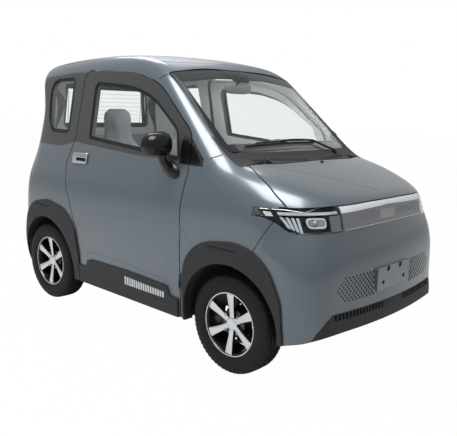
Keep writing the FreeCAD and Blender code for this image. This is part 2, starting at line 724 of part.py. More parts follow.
arm_window = 205.0
arm_window_top = 440.0
axle_window = 75.0
axle_window_top = 400.0
front_liner = well_liner(front_well(front_well_x - liner, liner), front_axle_y, arm_window, arm_window_top)
rear_liner = well_liner(rear_well(rear_well_x - liner, liner), rear_axle_y, axle_window, axle_window_top)
sides_inside = body_form(-wall - trim_gap)
door_room = both(side_prism(door_shares, -far, -cabin_side, shut_gap)).cut(body_form(-wall - shut_gap))
deck_keep = block((-floor_half, nose_end, -overrun), (floor_half, deck_step_y, top_end))
low_floor = floor_panel.common(deck_keep)
deck = floor_panel.common(block((-far, deck_step_y - floor_sheet, -overrun), (far, tail_end, top_end)))
bulkhead = block((-far, bulkhead_y, floor_low), (far, bulkhead_y + floor_sheet, bulkhead_top))
platform = low_floor.multiFuse([deck, bulkhead, both(sill), both(rail), beam, both(front_liner), both(rear_liner)])
platform = platform.common(sides_inside).cut([wells, door_room]).removeSplitter()
nodes["platform"] = main_solids(platform, offcut)

# Battery box under the seats and the drive motor on the rear axle
battery_half = 390.0
battery_low = ground_clearance
battery_gap = 0.3
nodes["battery_pack"] = block((-battery_half, seat_step_y + 20.0, battery_low),
                              (battery_half, deck_step_y - floor_sheet - 20.0, seat_floor - battery_gap))
motor_half = 120.0
motor_length = 230.0
motor_low = 165.0
motor_top = 375.0
nodes["drive_motor"] = block((-motor_half, rear_axle_y - motor_length / 2, motor_low),
                             (motor_half, rear_axle_y + motor_length / 2, motor_top))

# Dashboard with the steering column shroud
dash_back_y = bulkhead_y + floor_sheet + trim_gap
dash_profile_shares = (
    (0.175, 0.430, 0), (0.175, 0.610, 0), (0.230, 0.618, 0.02), (0.275, 0.590, 0.02), (0.262, 0.520, 0.02),
    (0.235, 0.430, 0.01),
)
column_x = 290.0
column_tilt = 28.0
wheel_centre_y = along(0.345)
wheel_centre_z = up(0.590)
column_way = Vec(0, -math.cos(math.radians(column_tilt)), -math.sin(math.radians(column_tilt)))
steering_centre = Vec(column_x, wheel_centre_y, wheel_centre_z)
shroud_start = 62.0
shroud_length = 190.0
shroud_radius = 38.0
shroud = Part.makeCylinder(shroud_radius, shroud_length, steering_centre + column_way * shroud_start, column_way)
dash = side_prism(dash_profile_shares, -far, far).common(body_form(-wall - shut_gap))
dash = dash.cut(block((-far, nose_end, 0), (far, dash_back_y, top_end)))
nodes["dashboard"] = main_solids(dash.fuse(shroud).removeSplitter(), offcut)

steering_radius = 172.0
grip_radius = 14.0
boss_radius = 46.0
boss_length = 50.0
spoke_width = 34.0
spoke_depth = 12.0
grip = Part.makeTorus(steering_radius, grip_radius, steering_centre, column_way)
boss = Part.makeCylinder(boss_radius, boss_length, steering_centre, column_way)
stem_radius = 16.0
stem = Part.makeCylinder(stem_radius, shroud_start - trim_gap, steering_centre, column_way)
across_way = Vec(1, 0, 0)
up_way = across_way.cross(column_way)


def steering_spoke(angle):
    spoke = Part.makeBox(steering_radius, spoke_width, spoke_depth, Vec(0, -spoke_width / 2, 0))
    spoke.rotate(Vec(0, 0, 0), Vec(0, 0, 1), angle)
    turn = FreeCAD.Rotation(Vec(0, 0, 1), column_way)
    spoke.Placement = FreeCAD.Placement(steering_centre, turn).multiply(spoke.Placement)
    return spoke


grip_spokes = [steering_spoke(angle) for angle in (0.0, 180.0, 270.0)]
nodes["steering_wheel"] = fused([grip, boss, stem] + grip_spokes)

# Seats: two in front on the raised floor, a bench on the rear deck
seat_x = 300.0
seat_half = 215.0
headrest_half = 125.0
cushion_shares = (
    (0.490, 0.200, 0), (0.480, 0.300, 0.03), (0.500, 0.330, 0.03), (0.750, 0.318, 0.03), (0.790, 0.200, 0),
)
back_shares = (
    (0.745, 0.290, 0.02), (0.775, 0.640, 0.05), (0.800, 0.700, 0.02), (0.838, 0.700, 0.02), (0.850, 0.640, 0.05),
    (0.825, 0.290, 0.02),
)
headrest_shares = (
    (0.803, 0.690, 0.01), (0.800, 0.780, 0.02), (0.812, 0.812, 0.012), (0.838, 0.812, 0.012), (0.845, 0.690, 0.01),
)
seat = side_prism(cushion_shares, -seat_x - seat_half, -seat_x + seat_half)
seat = seat.fuse(side_prism(back_shares, -seat_x - seat_half, -seat_x + seat_half))
seat = seat.fuse(side_prism(headrest_shares, -seat_x - headrest_half, -seat_x + headrest_half)).removeSplitter()
seat_base = seat_floor + floor_sheet + trim_gap
seat = seat.cut(block((-far, nose_end, -overrun), (far, tail_end, seat_base)))
nodes["seat_right"] = seat
nodes["seat_left"] = mirrored(seat)
bench_half = 440.0
bench_shares = (
    (0.905, 0.300, 0), (0.900, 0.400, 0.02), (1.180, 0.390, 0.01), (1.260, 0.690, 0.014),
    (1.380, 0.700, 0.014), (1.480, 0.300, 0),
)
bench_base = deck_height + floor_sheet + trim_gap
bench = side_prism(bench_shares, -bench_half, bench_half)
nodes["rear_bench"] = bench.cut(block((-far, nose_end, -overrun), (far, tail_end, bench_base)))

# Wiper, bedded on the screen, and the cowl under it
wiper_shares = (
    (-0.620, 0.6850, 0.004), (-0.620, 0.6975, 0.004), (-0.200, 0.7045, 0.10), (0.195, 0.7040, 0.01),
    (0.430, 0.6550, 0.004), (0.412, 0.6440, 0.004), (0.170, 0.6910, 0.01), (-0.200, 0.6925, 0.10),
)
wiper_low = 4.0
wiper_high = 16.0
wiper_end = along(0.25)
wiper_layer = body_form(wiper_high).cut(body_form(-glass_sunk + trim_gap))
wiper_foot = body_form(trim_gap).cut(front_prism(windscreen_shares, nose_end, screen_end, -trim_gap))
bonnet_reach = -782.0
bonnet_room = block((-far, nose_end, -overrun), (far, bonnet_reach, far))
wiper = wiper_layer.common(front_prism(wiper_shares, nose_end, wiper_end))
nodes["wiper"] = wiper.cut(wiper_foot).cut(bonnet_room)

# Wheels
flange_width = 130.0
barrel_wall = 7.0
barrel_radius = 152.0
bead_width = 10.0
rim_face = 645.0
spoke_count = 6
spoke_root = 34.0
spoke_tip = 38.0
spoke_thick = 24.0
spoke_start = 30.0
spoke_bite = 2.0
tip_flare = 1.25
hub_radius = 44.0
hub_hole = 27.0
disc_radius = 104.0
disc_thick = 12.0
hub_face = 612.0
disc_face = 588.0
bearing_radius = 34.0
bearing_end = 572.0
bolt_circle = 100.0
nut_radius = 9.0
nut_count = 4


def ring_solid(profile, axle_y, x_way):
    """Solid of a profile of distances out along the axle and radii, turned about the axle."""
    points = [Vec(x_way * a, axle_y, tyre_radius + b) for a, b in profile]
    wire = Part.makePolygon(points + [points[0]])
    return Part.Face(wire).revolve(Vec(0, axle_y, tyre_radius), Vec(1, 0, 0), 360)


def tyre(axle_y, x_way):
    half = tyre_width / 2
    profile = (
        (wheel_x - half * 0.74, rim_radius - 3), (wheel_x - half * 0.96, rim_radius + 14),
        (wheel_x - half, rim_radius + 40), (wheel_x - half * 0.95, tyre_radius - 22),
        (wheel_x - half * 0.80, tyre_radius - 6), (wheel_x - half * 0.40, tyre_radius),
        (wheel_x + half * 0.40, tyre_radius), (wheel_x + half * 0.80, tyre_radius - 6),
        (wheel_x + half * 0.95, tyre_radius - 22), (wheel_x + half, rim_radius + 40),
        (wheel_x + half * 0.96, rim_radius + 14), (wheel_x + half * 0.74, rim_radius - 3),
        (wheel_x + half * 0.74, barrel_radius + 0.3), (wheel_x - half * 0.74, barrel_radius + 0.3),
    )
    return ring_solid(profile, axle_y, x_way)


def rim(axle_y, x_way):
    inner_face = rim_face - flange_width
    barrel = ring_solid((
        (inner_face, rim_radius - 8), (inner_face, barrel_radius - barrel_wall), (rim_face, barrel_radius - 2),
        (rim_face, rim_radius - 8), (rim_face - 6, rim_radius - 8), (rim_face - 6, barrel_radius),
        (inner_face + 6, barrel_radius), (inner_face + 6, rim_radius - 8),
    ), axle_y, x_way)
    hub = ring_solid(((hub_face, 0), (rim_face - 12, 0), (rim_face - 12, hub_radius * 0.8), (rim_face - 16, hub_radius),
                      (rim_face - 20, 70), (hub_face, 70)), axle_y, x_way)
    disc = ring_solid(((bearing_end, 0), (bearing_end, bearing_radius), (disc_face - disc_thick, bearing_radius),
                       (disc_face - disc_thick, disc_radius), (disc_face, disc_radius),
                       (disc_face, 60), (hub_face, 60), (hub_face, 0)), axle_y, x_way)
    pieces = [barrel, hub, disc]
    for k in range(spoke_count):
        wide = spoke_root / 2
        slim = spoke_tip / 2
        tip = barrel_radius - barrel_wall + spoke_bite
        points = [Vec(0, -wide, spoke_start), Vec(0, -slim, disc_radius), Vec(0, -slim * tip_flare, tip),
                  Vec(0, slim * tip_flare, tip), Vec(0, slim, disc_radius), Vec(0, wide, spoke_start)]
        spoke = Part.Face(Part.makePolygon(points + [points[0]])).extrude(Vec(x_way * spoke_thick, 0, 0))
        spoke.rotate(Vec(0, 0, 0), Vec(1, 0, 0), 360 / spoke_count * k)
        spoke.translate(Vec(x_way * (rim_face - 6 - spoke_thick), axle_y, tyre_radius))
        pieces.append(spoke)
    return fused(pieces)


wheel_names = (("front", front_axle_y), ("rear", rear_axle_y))
for end_name, axle_y in wheel_names:
    for side_name, x_way in (("right", -1), ("left", 1)):
        nodes["tyre_" + end_name + "_" + side_name] = tyre(axle_y, x_way)
        nodes["rim_" + end_name + "_" + side_name] = rim(axle_y, x_way)

# Front knuckles turn about the line from the lower ball joint to the strut's top
ball_x = 545.0
ball_z = 165.0
top_x = 440.0
top_z = 600.0
strut_radius = 18.0
strut_end_z = arch_height + arch_radius - trim_gap
upright_half = 34.0
upright_thick = 26.0
steer_way = Vec(top_x - ball_x, 0, top_z - ball_z)


def steer_line(z):
    return ball_x + (z - ball_z) / (top_z - ball_z) * (top_x - ball_x)


def knuckle_right():
    """Upright plate on the steering line, with the stub axle and the strut."""
    foot = ball_z
    head = tyre_radius + 92.0
    points = [Vec(-steer_line(foot) - upright_thick / 2, 0, foot), Vec(-steer_line(head) - upright_thick / 2, 0, head),
              Vec(-steer_line(head) + upright_thick / 2, 0, head), Vec(-steer_line(foot) + upright_thick / 2, 0, foot)]
    plate = Part.Face(Part.makePolygon(points + [points[0]])).extrude(Vec(0, 2 * upright_half, 0))
    plate.translate(Vec(0, front_axle_y - upright_half, 0))
    stub = rod((-steer_line(tyre_radius), front_axle_y, tyre_radius), (-bearing_end + trim_gap, front_axle_y, tyre_radius),
               bearing_radius * 0.7)
    strut = rod((-steer_line(head - 30.0), front_axle_y, head - 30.0),
                (-steer_line(strut_end_z - 8.0), front_axle_y, strut_end_z - 8.0), strut_radius)
    return fused([plate, stub, strut])


nodes["knuckle_right"] = knuckle_right()
nodes["knuckle_left"] = mirrored(nodes["knuckle_right"])

# Front crossmember with the lower arms, and the rear axle with its arms and springs
arm_root_x = 250.0
arm_root_z = 205.0
arm_root_half = 95.0
arm_tip_half = 20.0
arm_thick = 14.0
arm_drop = 12.0
arm_low = ball_z - arm_drop - arm_thick
cross_low = arm_low
cross_half = 55.0
arm_points = [Vec(-arm_root_x, front_axle_y - arm_root_half, arm_low), Vec(-arm_root_x, front_axle_y + arm_root_half, arm_low),
              Vec(-ball_x - 18.0, front_axle_y + arm_tip_half, arm_low), Vec(-ball_x - 18.0, front_axle_y - arm_tip_half, arm_low)]
arm = Part.Face(Part.makePolygon(arm_points + [arm_points[0]])).extrude(Vec(0, 0, arm_thick))
member = block((-rail_outside, front_axle_y - arm_root_half, cross_low),
               (rail_outside, front_axle_y + arm_root_half, cross_low + 40.0))
tower = block((-rail_outside, front_axle_y - cross_half, cross_low),
              (-rail_inside, front_axle_y + cross_half, rail_low - trim_gap))
nodes["front_suspension"] = fused([arm, mirrored(arm), member, tower, mirrored(tower)])

axle_tube_radius = 30.0
backing_radius = 95.0
arm_rod_radius = 16.0
rear_arm_x = 420.0
spring_radius = 42.0
spring_y = rear_axle_y
axle_right = rod((-bearing_end + trim_gap, rear_axle_y, tyre_radius), (-motor_half - trim_gap, rear_axle_y, tyre_radius),
                 axle_tube_radius)
backing = rod((-bearing_end + trim_gap, rear_axle_y, tyre_radius), (-bearing_end + 12.0, rear_axle_y, tyre_radius),
              backing_radius)
rear_arm = rod((-rear_arm_x, rear_axle_y, tyre_radius), (-rear_arm_x, deck_step_y + trim_gap, seat_floor - 40.0),
               arm_rod_radius)
spring = rod((-rear_arm_x, spring_y, tyre_radius), (-rear_arm_x, spring_y, deck_height - trim_gap), spring_radius)
nodes["rear_axle"] = pair(fused([axle_right, backing, rear_arm, spring]))

# Mirrors on their arms, and the mirrored door pieces
mirror_outline = (
    (-1.00, -0.35, 0.22), (-0.96, 0.42, 0.45), (-0.55, 0.98, 0.50), (0.55, 1.00, 0.55), (0.98, 0.40, 0.45),
    (0.96, -0.62, 0.35), (0.55, -1.00, 0.30), (-0.60, -1.00, 0.35),
)
mirror_half_width = 85.0
mirror_half_height = 64.0
mirror_depth = 92.0
mirror_round = 24.0
mirror_x = 752.0
mirror_y = along(0.266)
mirror_z = up(0.689)
foot_shares = (
    (0.225, 0.632, 0.012), (0.300, 0.634, 0.014), (0.285, 0.604, 0.020), (0.240, 0.588, 0.018),
)
foot_proud = 16.0
arm_radius = 15.0
arm_foot_x = 662.0
arm_foot_z = up(0.612)
arm_head_z = mirror_z - 36.0
mirror_points = [(-mirror_x + row[0] * mirror_half_width, mirror_z + row[1] * mirror_half_height)
                 for row in mirror_outline]
mirror_radii = [row[2] * mirror_half_height for row in mirror_outline]
mirror = prism(mirror_points, mirror_radii, "front", mirror_y - mirror_depth / 2, mirror_y + mirror_depth / 2)
front_rim = [edge for edge in mirror.Edges if edge.BoundBox.YMax < mirror_y]
mirror = mirror.makeFillet(mirror_round, front_rim)
foot_layer = body_form(foot_proud).cut(body_form(trim_gap))
foot = foot_layer.common(side_prism(foot_shares, -far, -cabin_side))
arm = rod((-arm_foot_x, mirror_y, arm_foot_z), (-mirror_x, mirror_y, arm_head_z), arm_radius).cut(body_form(trim_gap))
nodes["mirror_right"] = mirror.multiFuse([main_solids(arm, sliver), foot]).removeSplitter()
for name in ("door", "door_glass", "door_cladding", "mirror"):
    nodes[name + "_left"] = mirrored(nodes[name + "_right"])

os.makedirs("parts", exist_ok=True)
dust = 500.0
for name, shape in nodes.items():
    kept = main_solids(shape, dust)
    print(name, kept.isValid(), [round(s.Volume / 1e6, 3) for s in kept.Solids])
    kept.exportStep("parts/" + name + ".step")
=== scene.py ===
import json
import math

import bpy
from mathutils import Matrix, Vector
from mathutils.bvhtree import BVHTree

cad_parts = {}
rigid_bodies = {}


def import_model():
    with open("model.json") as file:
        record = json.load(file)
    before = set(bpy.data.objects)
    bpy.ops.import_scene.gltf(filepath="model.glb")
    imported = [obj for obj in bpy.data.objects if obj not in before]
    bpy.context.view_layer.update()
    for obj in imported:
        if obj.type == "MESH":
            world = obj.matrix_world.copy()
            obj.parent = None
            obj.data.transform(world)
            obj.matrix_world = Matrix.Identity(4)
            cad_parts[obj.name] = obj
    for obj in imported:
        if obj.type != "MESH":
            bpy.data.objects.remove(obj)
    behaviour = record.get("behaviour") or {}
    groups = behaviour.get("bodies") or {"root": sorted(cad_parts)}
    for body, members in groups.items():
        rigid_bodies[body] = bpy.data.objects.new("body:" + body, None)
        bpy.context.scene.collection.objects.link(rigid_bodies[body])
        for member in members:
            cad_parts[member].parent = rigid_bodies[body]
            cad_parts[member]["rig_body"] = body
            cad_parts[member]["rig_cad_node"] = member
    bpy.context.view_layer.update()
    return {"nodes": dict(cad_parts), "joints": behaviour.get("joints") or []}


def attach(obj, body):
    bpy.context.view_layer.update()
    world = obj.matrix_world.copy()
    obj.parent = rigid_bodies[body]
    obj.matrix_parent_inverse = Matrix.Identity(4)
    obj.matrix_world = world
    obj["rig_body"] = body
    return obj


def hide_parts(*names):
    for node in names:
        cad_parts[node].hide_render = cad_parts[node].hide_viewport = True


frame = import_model()
nodes = frame["nodes"]
bpy.ops.object.select_all(action="DESELECT")

# Studio: a pale floor under a wide soft light from above, with a white surround that the paint and the
# glass mirror. The camera stands ahead of the right front wheel at eye level, as a person beside the car.
camera_place = (-2.7625, -2.7166, 1.3183)
camera_yaw, camera_pitch, camera_roll = (math.radians(angle) for angle in (47.172, -10.439, 1.722))
focal_length = 48.16
sensor_width = 36.0
floor_size = 60
floor_drop = 0.0005
floor_whiteness = 0.985
sky_on_paint = 0.55
# place, aim, size and power of each soft light, and how it hides: the third lights the flank without a
# highlight, and the last stands for daylight in the cabin
soft_lights = (
    ((-1.8, -1.2, 6.0), (0, 0, 0.5), 3.4, 400.0, ()),
    ((2.5, 3.5, 5.0), (0, 0, 0.5), 3.0, 130.0, ()),
    ((-6.5, 1.5, 3.0), (0, 0.2, 0.6), 3.0, 210.0, ("visible_glossy",)),
    ((0, 0.15, 1.50), (0, 0.15, 0.5), 0.5, 5.0, ("visible_camera", "visible_glossy", "visible_transmission")),
)

bpy.ops.object.camera_add(location=camera_place)
camera = bpy.context.object
camera.rotation_mode = "QUATERNION"
turn = Matrix.Rotation(-camera_yaw, 3, "Z") @ Matrix.Rotation(math.pi / 2 + camera_pitch, 3, "X")
camera.rotation_quaternion = (turn @ Matrix.Rotation(camera_roll, 3, "Z")).to_quaternion()
camera.data.lens = focal_length
camera.data.sensor_width = sensor_width
scene = bpy.context.scene
scene.camera = camera
scene.view_settings.view_transform = "Standard"


def linear(hex_colour):
    """sRGB hex colour as linear red, green, blue and alpha."""
    parts = [int(hex_colour[start:start + 2], 16) / 255 for start in (1, 3, 5)]
    return [part / 12.92 if part <= 0.04045 else ((part + 0.055) / 1.055) ** 2.4 for part in parts] + [1.0]


def add_node(tree, kind, inputs=(), **settings):
    """Adds one node. inputs gives a value or another node's output for each socket name or number."""
    made = tree.nodes.new(kind)
    for name, value in settings.items():
        setattr(made, name, value)
    for socket, value in dict(inputs).items():
        if isinstance(value, bpy.types.NodeSocket):
            tree.links.new(value, made.inputs[socket])
        else:
            made.inputs[socket].default_value = value
    return made


def new_material(name, colour, roughness, metallic=0.0, coat=0.0, specular=0.5):
    """Material with one shader, whose sockets hold the finish's own values."""
    made = bpy.data.materials.new(name)
    made.use_nodes = True
    shader = made.node_tree.nodes["Principled BSDF"]
    shader.inputs["Base Color"].default_value = linear(colour)
    shader.inputs["Roughness"].default_value = roughness
    shader.inputs["Metallic"].default_value = metallic
    shader.inputs["Coat Weight"].default_value = coat
    shader.inputs["Coat Roughness"].default_value = 0.04
    shader.inputs["Specular IOR Level"].default_value = specular
    return made


def shader_of(material):
    """The material's one shader."""
    return material.node_tree.nodes["Principled BSDF"]


def place_of(material):
    """Object coordinates, split into x, y and z."""
    tree = material.node_tree
    place = add_node(tree, "ShaderNodeTexCoord").outputs["Object"]
    return add_node(tree, "ShaderNodeSeparateXYZ", {0: place}).outputs


def mottle(material, size, colour_change, roughness_change, relief):
    """Breaks up a finish: a noise of that grain size in metres shifts its colour, roughness and surface."""
    tree = material.node_tree
    shader = shader_of(material)
    place = add_node(tree, "ShaderNodeTexCoord").outputs["Object"]
    grain = add_node(tree, "ShaderNodeTexNoise", {"Vector": place, "Scale": 1 / size, "Detail": 3.0}).outputs[0]
    colour = shader.inputs["Base Color"].default_value[:]
    darker = [part * (1 - colour_change) for part in colour[:3]] + [1.0]
    lighter = [min(1.0, part * (1 + colour_change)) for part in colour[:3]] + [1.0]
    mixed = add_node(tree, "ShaderNodeMix", {0: grain, 6: darker, 7: lighter}, data_type="RGBA")
    tree.links.new(mixed.outputs[2], shader.inputs["Base Color"])
    middle = shader.inputs["Roughness"].default_value
    spread = {0: grain, 3: middle - roughness_change, 4: middle + roughness_change}
    tree.links.new(add_node(tree, "ShaderNodeMapRange", spread).outputs[0], shader.inputs["Roughness"])
    if relief:
        bump = add_node(tree, "ShaderNodeBump", {"Height": grain, "Distance": relief})
        tree.links.new(bump.outputs[0], shader.inputs["Normal"])
    return material


def flat_plate(name, size, place):
    """Square plate of that size."""
    bpy.ops.mesh.primitive_plane_add(size=size, location=place)
    bpy.ops.object.transform_apply()
    bpy.context.object.name = name
    return bpy.context.object


floor = flat_plate("studio_floor", floor_size, (0, 0, -floor_drop))
floor_paint = mottle(new_material("floor_matt_white", "#C4C5C4", 0.75), 0.5, 0.01, 0.03, 0)
floor_tree = floor_paint.node_tree
floor_glow = add_node(floor_tree, "ShaderNodeEmission", {0: linear("#FFFFFF")})
floor_rays = add_node(floor_tree, "ShaderNodeLightPath").outputs
floor_seen = add_node(floor_tree, "ShaderNodeMath",
                      {0: floor_rays["Is Camera Ray"], 1: floor_rays["Is Transmission Ray"]}, operation="MAXIMUM")
floor_share = add_node(floor_tree, "ShaderNodeMath", {0: floor_seen.outputs[0], 1: floor_whiteness},
                       operation="MULTIPLY")
floor_mix = add_node(floor_tree, "ShaderNodeMixShader", {0: floor_share.outputs[0],
                                                         1: shader_of(floor_paint).outputs[0],
                                                         2: floor_glow.outputs[0]})
floor_tree.links.new(floor_mix.outputs[0], floor_tree.nodes["Material Output"].inputs["Surface"])
floor.data.materials.append(floor_paint)

world = bpy.data.worlds.new("white_surround")
scene.world = world
world.use_nodes = True
sky = world.node_tree
seen = add_node(sky, "ShaderNodeLightPath").outputs
direct = add_node(sky, "ShaderNodeMath", {0: seen["Is Camera Ray"], 1: seen["Is Transmission Ray"]},
                  operation="MAXIMUM")
sky_strength = add_node(sky, "ShaderNodeMapRange", {0: direct.outputs[0], 3: sky_on_paint, 4: 1.0})
sky.links.new(sky_strength.outputs[0], sky.nodes["Background"].inputs["Strength"])
sky.nodes["Background"].inputs["Color"].default_value = linear("#FFFFFF")


for place, aim, size, power, hidden_from in soft_lights:
    bpy.ops.object.light_add(type="AREA", location=place)
    lamp = bpy.context.object
    lamp.data.size = size
    lamp.data.energy = power
    lamp.rotation_mode = "QUATERNION"
    lamp.rotation_quaternion = (Vector(aim) - Vector(place)).to_track_quat("-Z", "Y")
    for seen_by in hidden_from:
        setattr(lamp, seen_by, False)

# Painted panels: pressed steel and moulded plastic in slate grey. A metallic basecoat lies under a clear
# lacquer, so the colour stays even while the lacquer mirrors the surround. The rear pillars and window
# frames are covered in dark film, and the insides are lined.
half_length = 1.313
joint_places = {joint["name"]: joint["pos_m"] for joint in frame["joints"]}
front_axle = joint_places["wheel_front_right_spin"][1]
rear_axle = joint_places["wheel_rear_right_spin"][1]
axle_height = joint_places["wheel_front_right_spin"][2]
car_height = 1.612
half_width = 0.682
well_radius = 0.350
well_facing = 0.7
lacquer_roughness = 0.16
slate_grey = "#48525A"
panel_lining, roof_lining = "#BFC3C3", "#E6E8E4"
frame_dark = "#28292C"
sail_black = "#0E0F10"
skirt_top = 0.225
relief_edge, relief_height = 0.006, 0.005
hollow_edge, hollow_depth = 0.007, 0.003
lip_edge, lip_height = 0.008, 0.007
fold_edge, fold_height = 0.012, 0.006


def along(share):
    """Place along the car: -1 at the nose, 0 and 1 at the axles, 2 at the tail."""
    if share < 0:
        return front_axle + share * (front_axle + half_length)
    if share > 1:
        return rear_axle + (share - 1) * (half_length - rear_axle)
    return front_axle + share * (rear_axle - front_axle)


def up(share):
    """Height as a share of the car's height."""
    return share * car_height


def across(share):
    """Place across the car as a share of half the body's width."""
    return share * half_width


def zone(material, mask, colour, roughness, metallic=0.0, coat=0.0):
    """Lays a second finish over a material where mask is 1."""
    tree = material.node_tree
    shader = shader_of(material)
    for socket, value in (("Roughness", roughness), ("Metallic", metallic), ("Coat Weight", coat)):
        under = shader.inputs[socket]
        was = under.links[0].from_socket if under.is_linked else under.default_value
        mixed = add_node(tree, "ShaderNodeMix", {0: mask, 2: was, 3: value}, data_type="FLOAT")
        tree.links.new(mixed.outputs[0], under)
    under = shader.inputs["Base Color"]
    was = under.links[0].from_socket if under.is_linked else under.default_value[:]
    mixed = add_node(tree, "ShaderNodeMix", {0: mask, 6: was, 7: linear(colour)}, data_type="RGBA")
    tree.links.new(mixed.outputs[2], under)


def calculate(material, operation, first, second):
    """One sum of two values."""
    return add_node(material.node_tree, "ShaderNodeMath", {0: first, 1: second}, operation=operation).outputs[0]


def inside(material, axes, corners):
    """1 within an outline without hollows, whose corners go anticlockwise in those two axes."""
    place = place_of(material)
    mask = None
    for (a0, b0), (a1, b1) in zip(corners, corners[1:] + corners[:1]):
        part_a = calculate(material, "MULTIPLY", place[axes[0]], -(b1 - b0))
        part_b = calculate(material, "MULTIPLY", place[axes[1]], a1 - a0)
        both = calculate(material, "ADD", part_a, part_b)
        edge = calculate(material, "GREATER_THAN", both, a0 * -(b1 - b0) + b0 * (a1 - a0))
        mask = edge if mask is None else calculate(material, "MULTIPLY", mask, edge)
    return mask


def normal_of(material):
    """The way the surface looks, split into x, y and z."""
    normal = add_node(material.node_tree, "ShaderNodeNewGeometry").outputs["Normal"]
    return add_node(material.node_tree, "ShaderNodeSeparateXYZ", {0: normal}).outputs


def facing(material, axis, least):
    """1 where the surface looks along an axis by more than that share."""
    return calculate(material, "GREATER_THAN", normal_of(material)[axis], least)


def facing_in(material, least):
    """1 where the surface looks to the car's middle, from either side."""
    side = calculate(material, "SIGN", place_of(material)[0], 0.0)
    return calculate(material, "LESS_THAN", calculate(material, "MULTIPLY", normal_of(material)[0], side), -least)


def in_well(material, axle_y, radius):
    """1 on what looks along the car or down within a wheel arch."""
    place = place_of(material)
    back = calculate(material, "SUBTRACT", place[1], axle_y)
    rise = calculate(material, "SUBTRACT", place[2], axle_height)
    far = calculate(material, "ADD", calculate(material, "MULTIPLY", back, back),
                    calculate(material, "MULTIPLY", rise, rise))
    near = calculate(material, "LESS_THAN", far, radius * radius)
    sideways = calculate(material, "ABSOLUTE", normal_of(material)[0], 0.0)
    return calculate(material, "MULTIPLY", near, calculate(material, "LESS_THAN", sideways, well_facing))


def painted(name):
    """Slate grey metallic paint under lacquer, with black liners in the wheel wells."""
    made = mottle(new_material(name, slate_grey, 0.36, 0.35, 1.0), 0.0012, 0.06, 0.03, 0)
    shader_of(made).inputs["Coat Roughness"].default_value = lacquer_roughness
    for axle_y in (front_axle, rear_axle):
        zone(made, in_well(made, axle_y, well_radius), "#101112", 0.8)
    return made


def dress(node, material):
    """Gives a node of the frame its material."""
    piece = nodes[node]
    piece.data.materials.clear()
    piece.data.materials.append(material)
    for face in piece.data.polygons:
        face.material_index = 0


# corners of what is dark in side view, as shares along and up
door_dark = [(0.10, 0.6355), (0.429, 0.6412), (0.60, 0.6505), (0.751, 0.6598), (0.95, 0.678), (0.95, 1.0),
             (0.10, 1.0)]
quarter_dark = [(0.78, 0.6725), (0.904, 0.6425), (2.1, 0.647), (2.1, 0.893), (1.315, 0.91), (0.99, 0.925),
                (0.78, 0.925)]
sail_dark = [(0.172, 0.630), (0.230, 0.632), (0.230, 0.722), (0.194, 0.715), (0.129, 0.654), (0.124, 0.630)]


def seen_from_side(shares):
    """Corners given in shares along and up, in metres."""
    return [(along(y_share), up(z_share)) for y_share, z_share in shares]


def plateau(material, axes, corners, half_width, height):
    """Raises an outline without hollows by height, with a soft slope of twice half_width at its edge."""
    place = place_of(material)
    lowest = None
    for (a0, b0), (a1, b1) in zip(corners, corners[1:] + corners[:1]):
        length = math.hypot(a1 - a0, b1 - b0)
        part_a = calculate(material, "MULTIPLY", place[axes[0]], -(b1 - b0) / length)
        part_b = calculate(material, "MULTIPLY", place[axes[1]], (a1 - a0) / length)
        offset = (a0 * (b1 - b0) - b0 * (a1 - a0)) / length
        distance = calculate(material, "ADD", calculate(material, "ADD", part_a, part_b), offset)
        slope = add_node(material.node_tree, "ShaderNodeMapRange", {0: distance, 1: -half_width, 2: half_width},
                         interpolation_type="SMOOTHSTEP").outputs[0]
        lowest = slope if lowest is None else calculate(material, "MINIMUM", lowest, slope)
    tree = material.node_tree
    normal = shader_of(material).inputs["Normal"]
    bump = add_node(tree, "ShaderNodeBump", {"Height": lowest, "Distance": height, "Strength": 1.0})
    if normal.is_linked:
        tree.links.new(normal.links[0].from_socket, bump.inputs["Normal"])
    tree.links.new(bump.outputs[0], normal)


def frame_zone(material, shares):
    """Semi-matt dark film on the pillars and window frames, within a side view outline."""
    zone(material, inside(material, (1, 2), seen_from_side(shares)), frame_dark, 0.34, 0.1, 0.5)


def sail_zone(material):
    """Gloss black sail panel in the window's front corner."""
    zone(material, inside(material, (1, 2), seen_from_side(sail_dark)), sail_black, 0.12, 0.0, 0.5)


roof_paint = painted("lacquered_steel_roof")
zone(roof_paint, facing(roof_paint, 2, -0.3), slate_grey, 0.5, 0.35, 0.12)
zone(roof_paint, calculate(roof_paint, "LESS_THAN", normal_of(roof_paint)[2], -0.2), roof_lining, 0.9)
roof_panel = [(-0.36, -0.092), (-0.15, -0.103), (0.15, -0.103), (0.36, -0.092), (0.50, -0.05), (0.51, 0.31),
              (0.50, 0.55), (0.478, 0.82), (0.44, 0.98), (-0.44, 0.98), (-0.478, 0.82), (-0.50, 0.55),
              (-0.51, 0.31), (-0.50, -0.05)]
plateau(roof_paint, (0, 1), roof_panel, relief_edge, relief_height)
dress("roof", roof_paint)

side_paint = painted("lacquered_steel_sides")
frame_zone(side_paint, quarter_dark)
sail_zone(side_paint)
zone(side_paint, facing_in(side_paint, 0.3), panel_lining, 0.7)
dress("body_sides", side_paint)

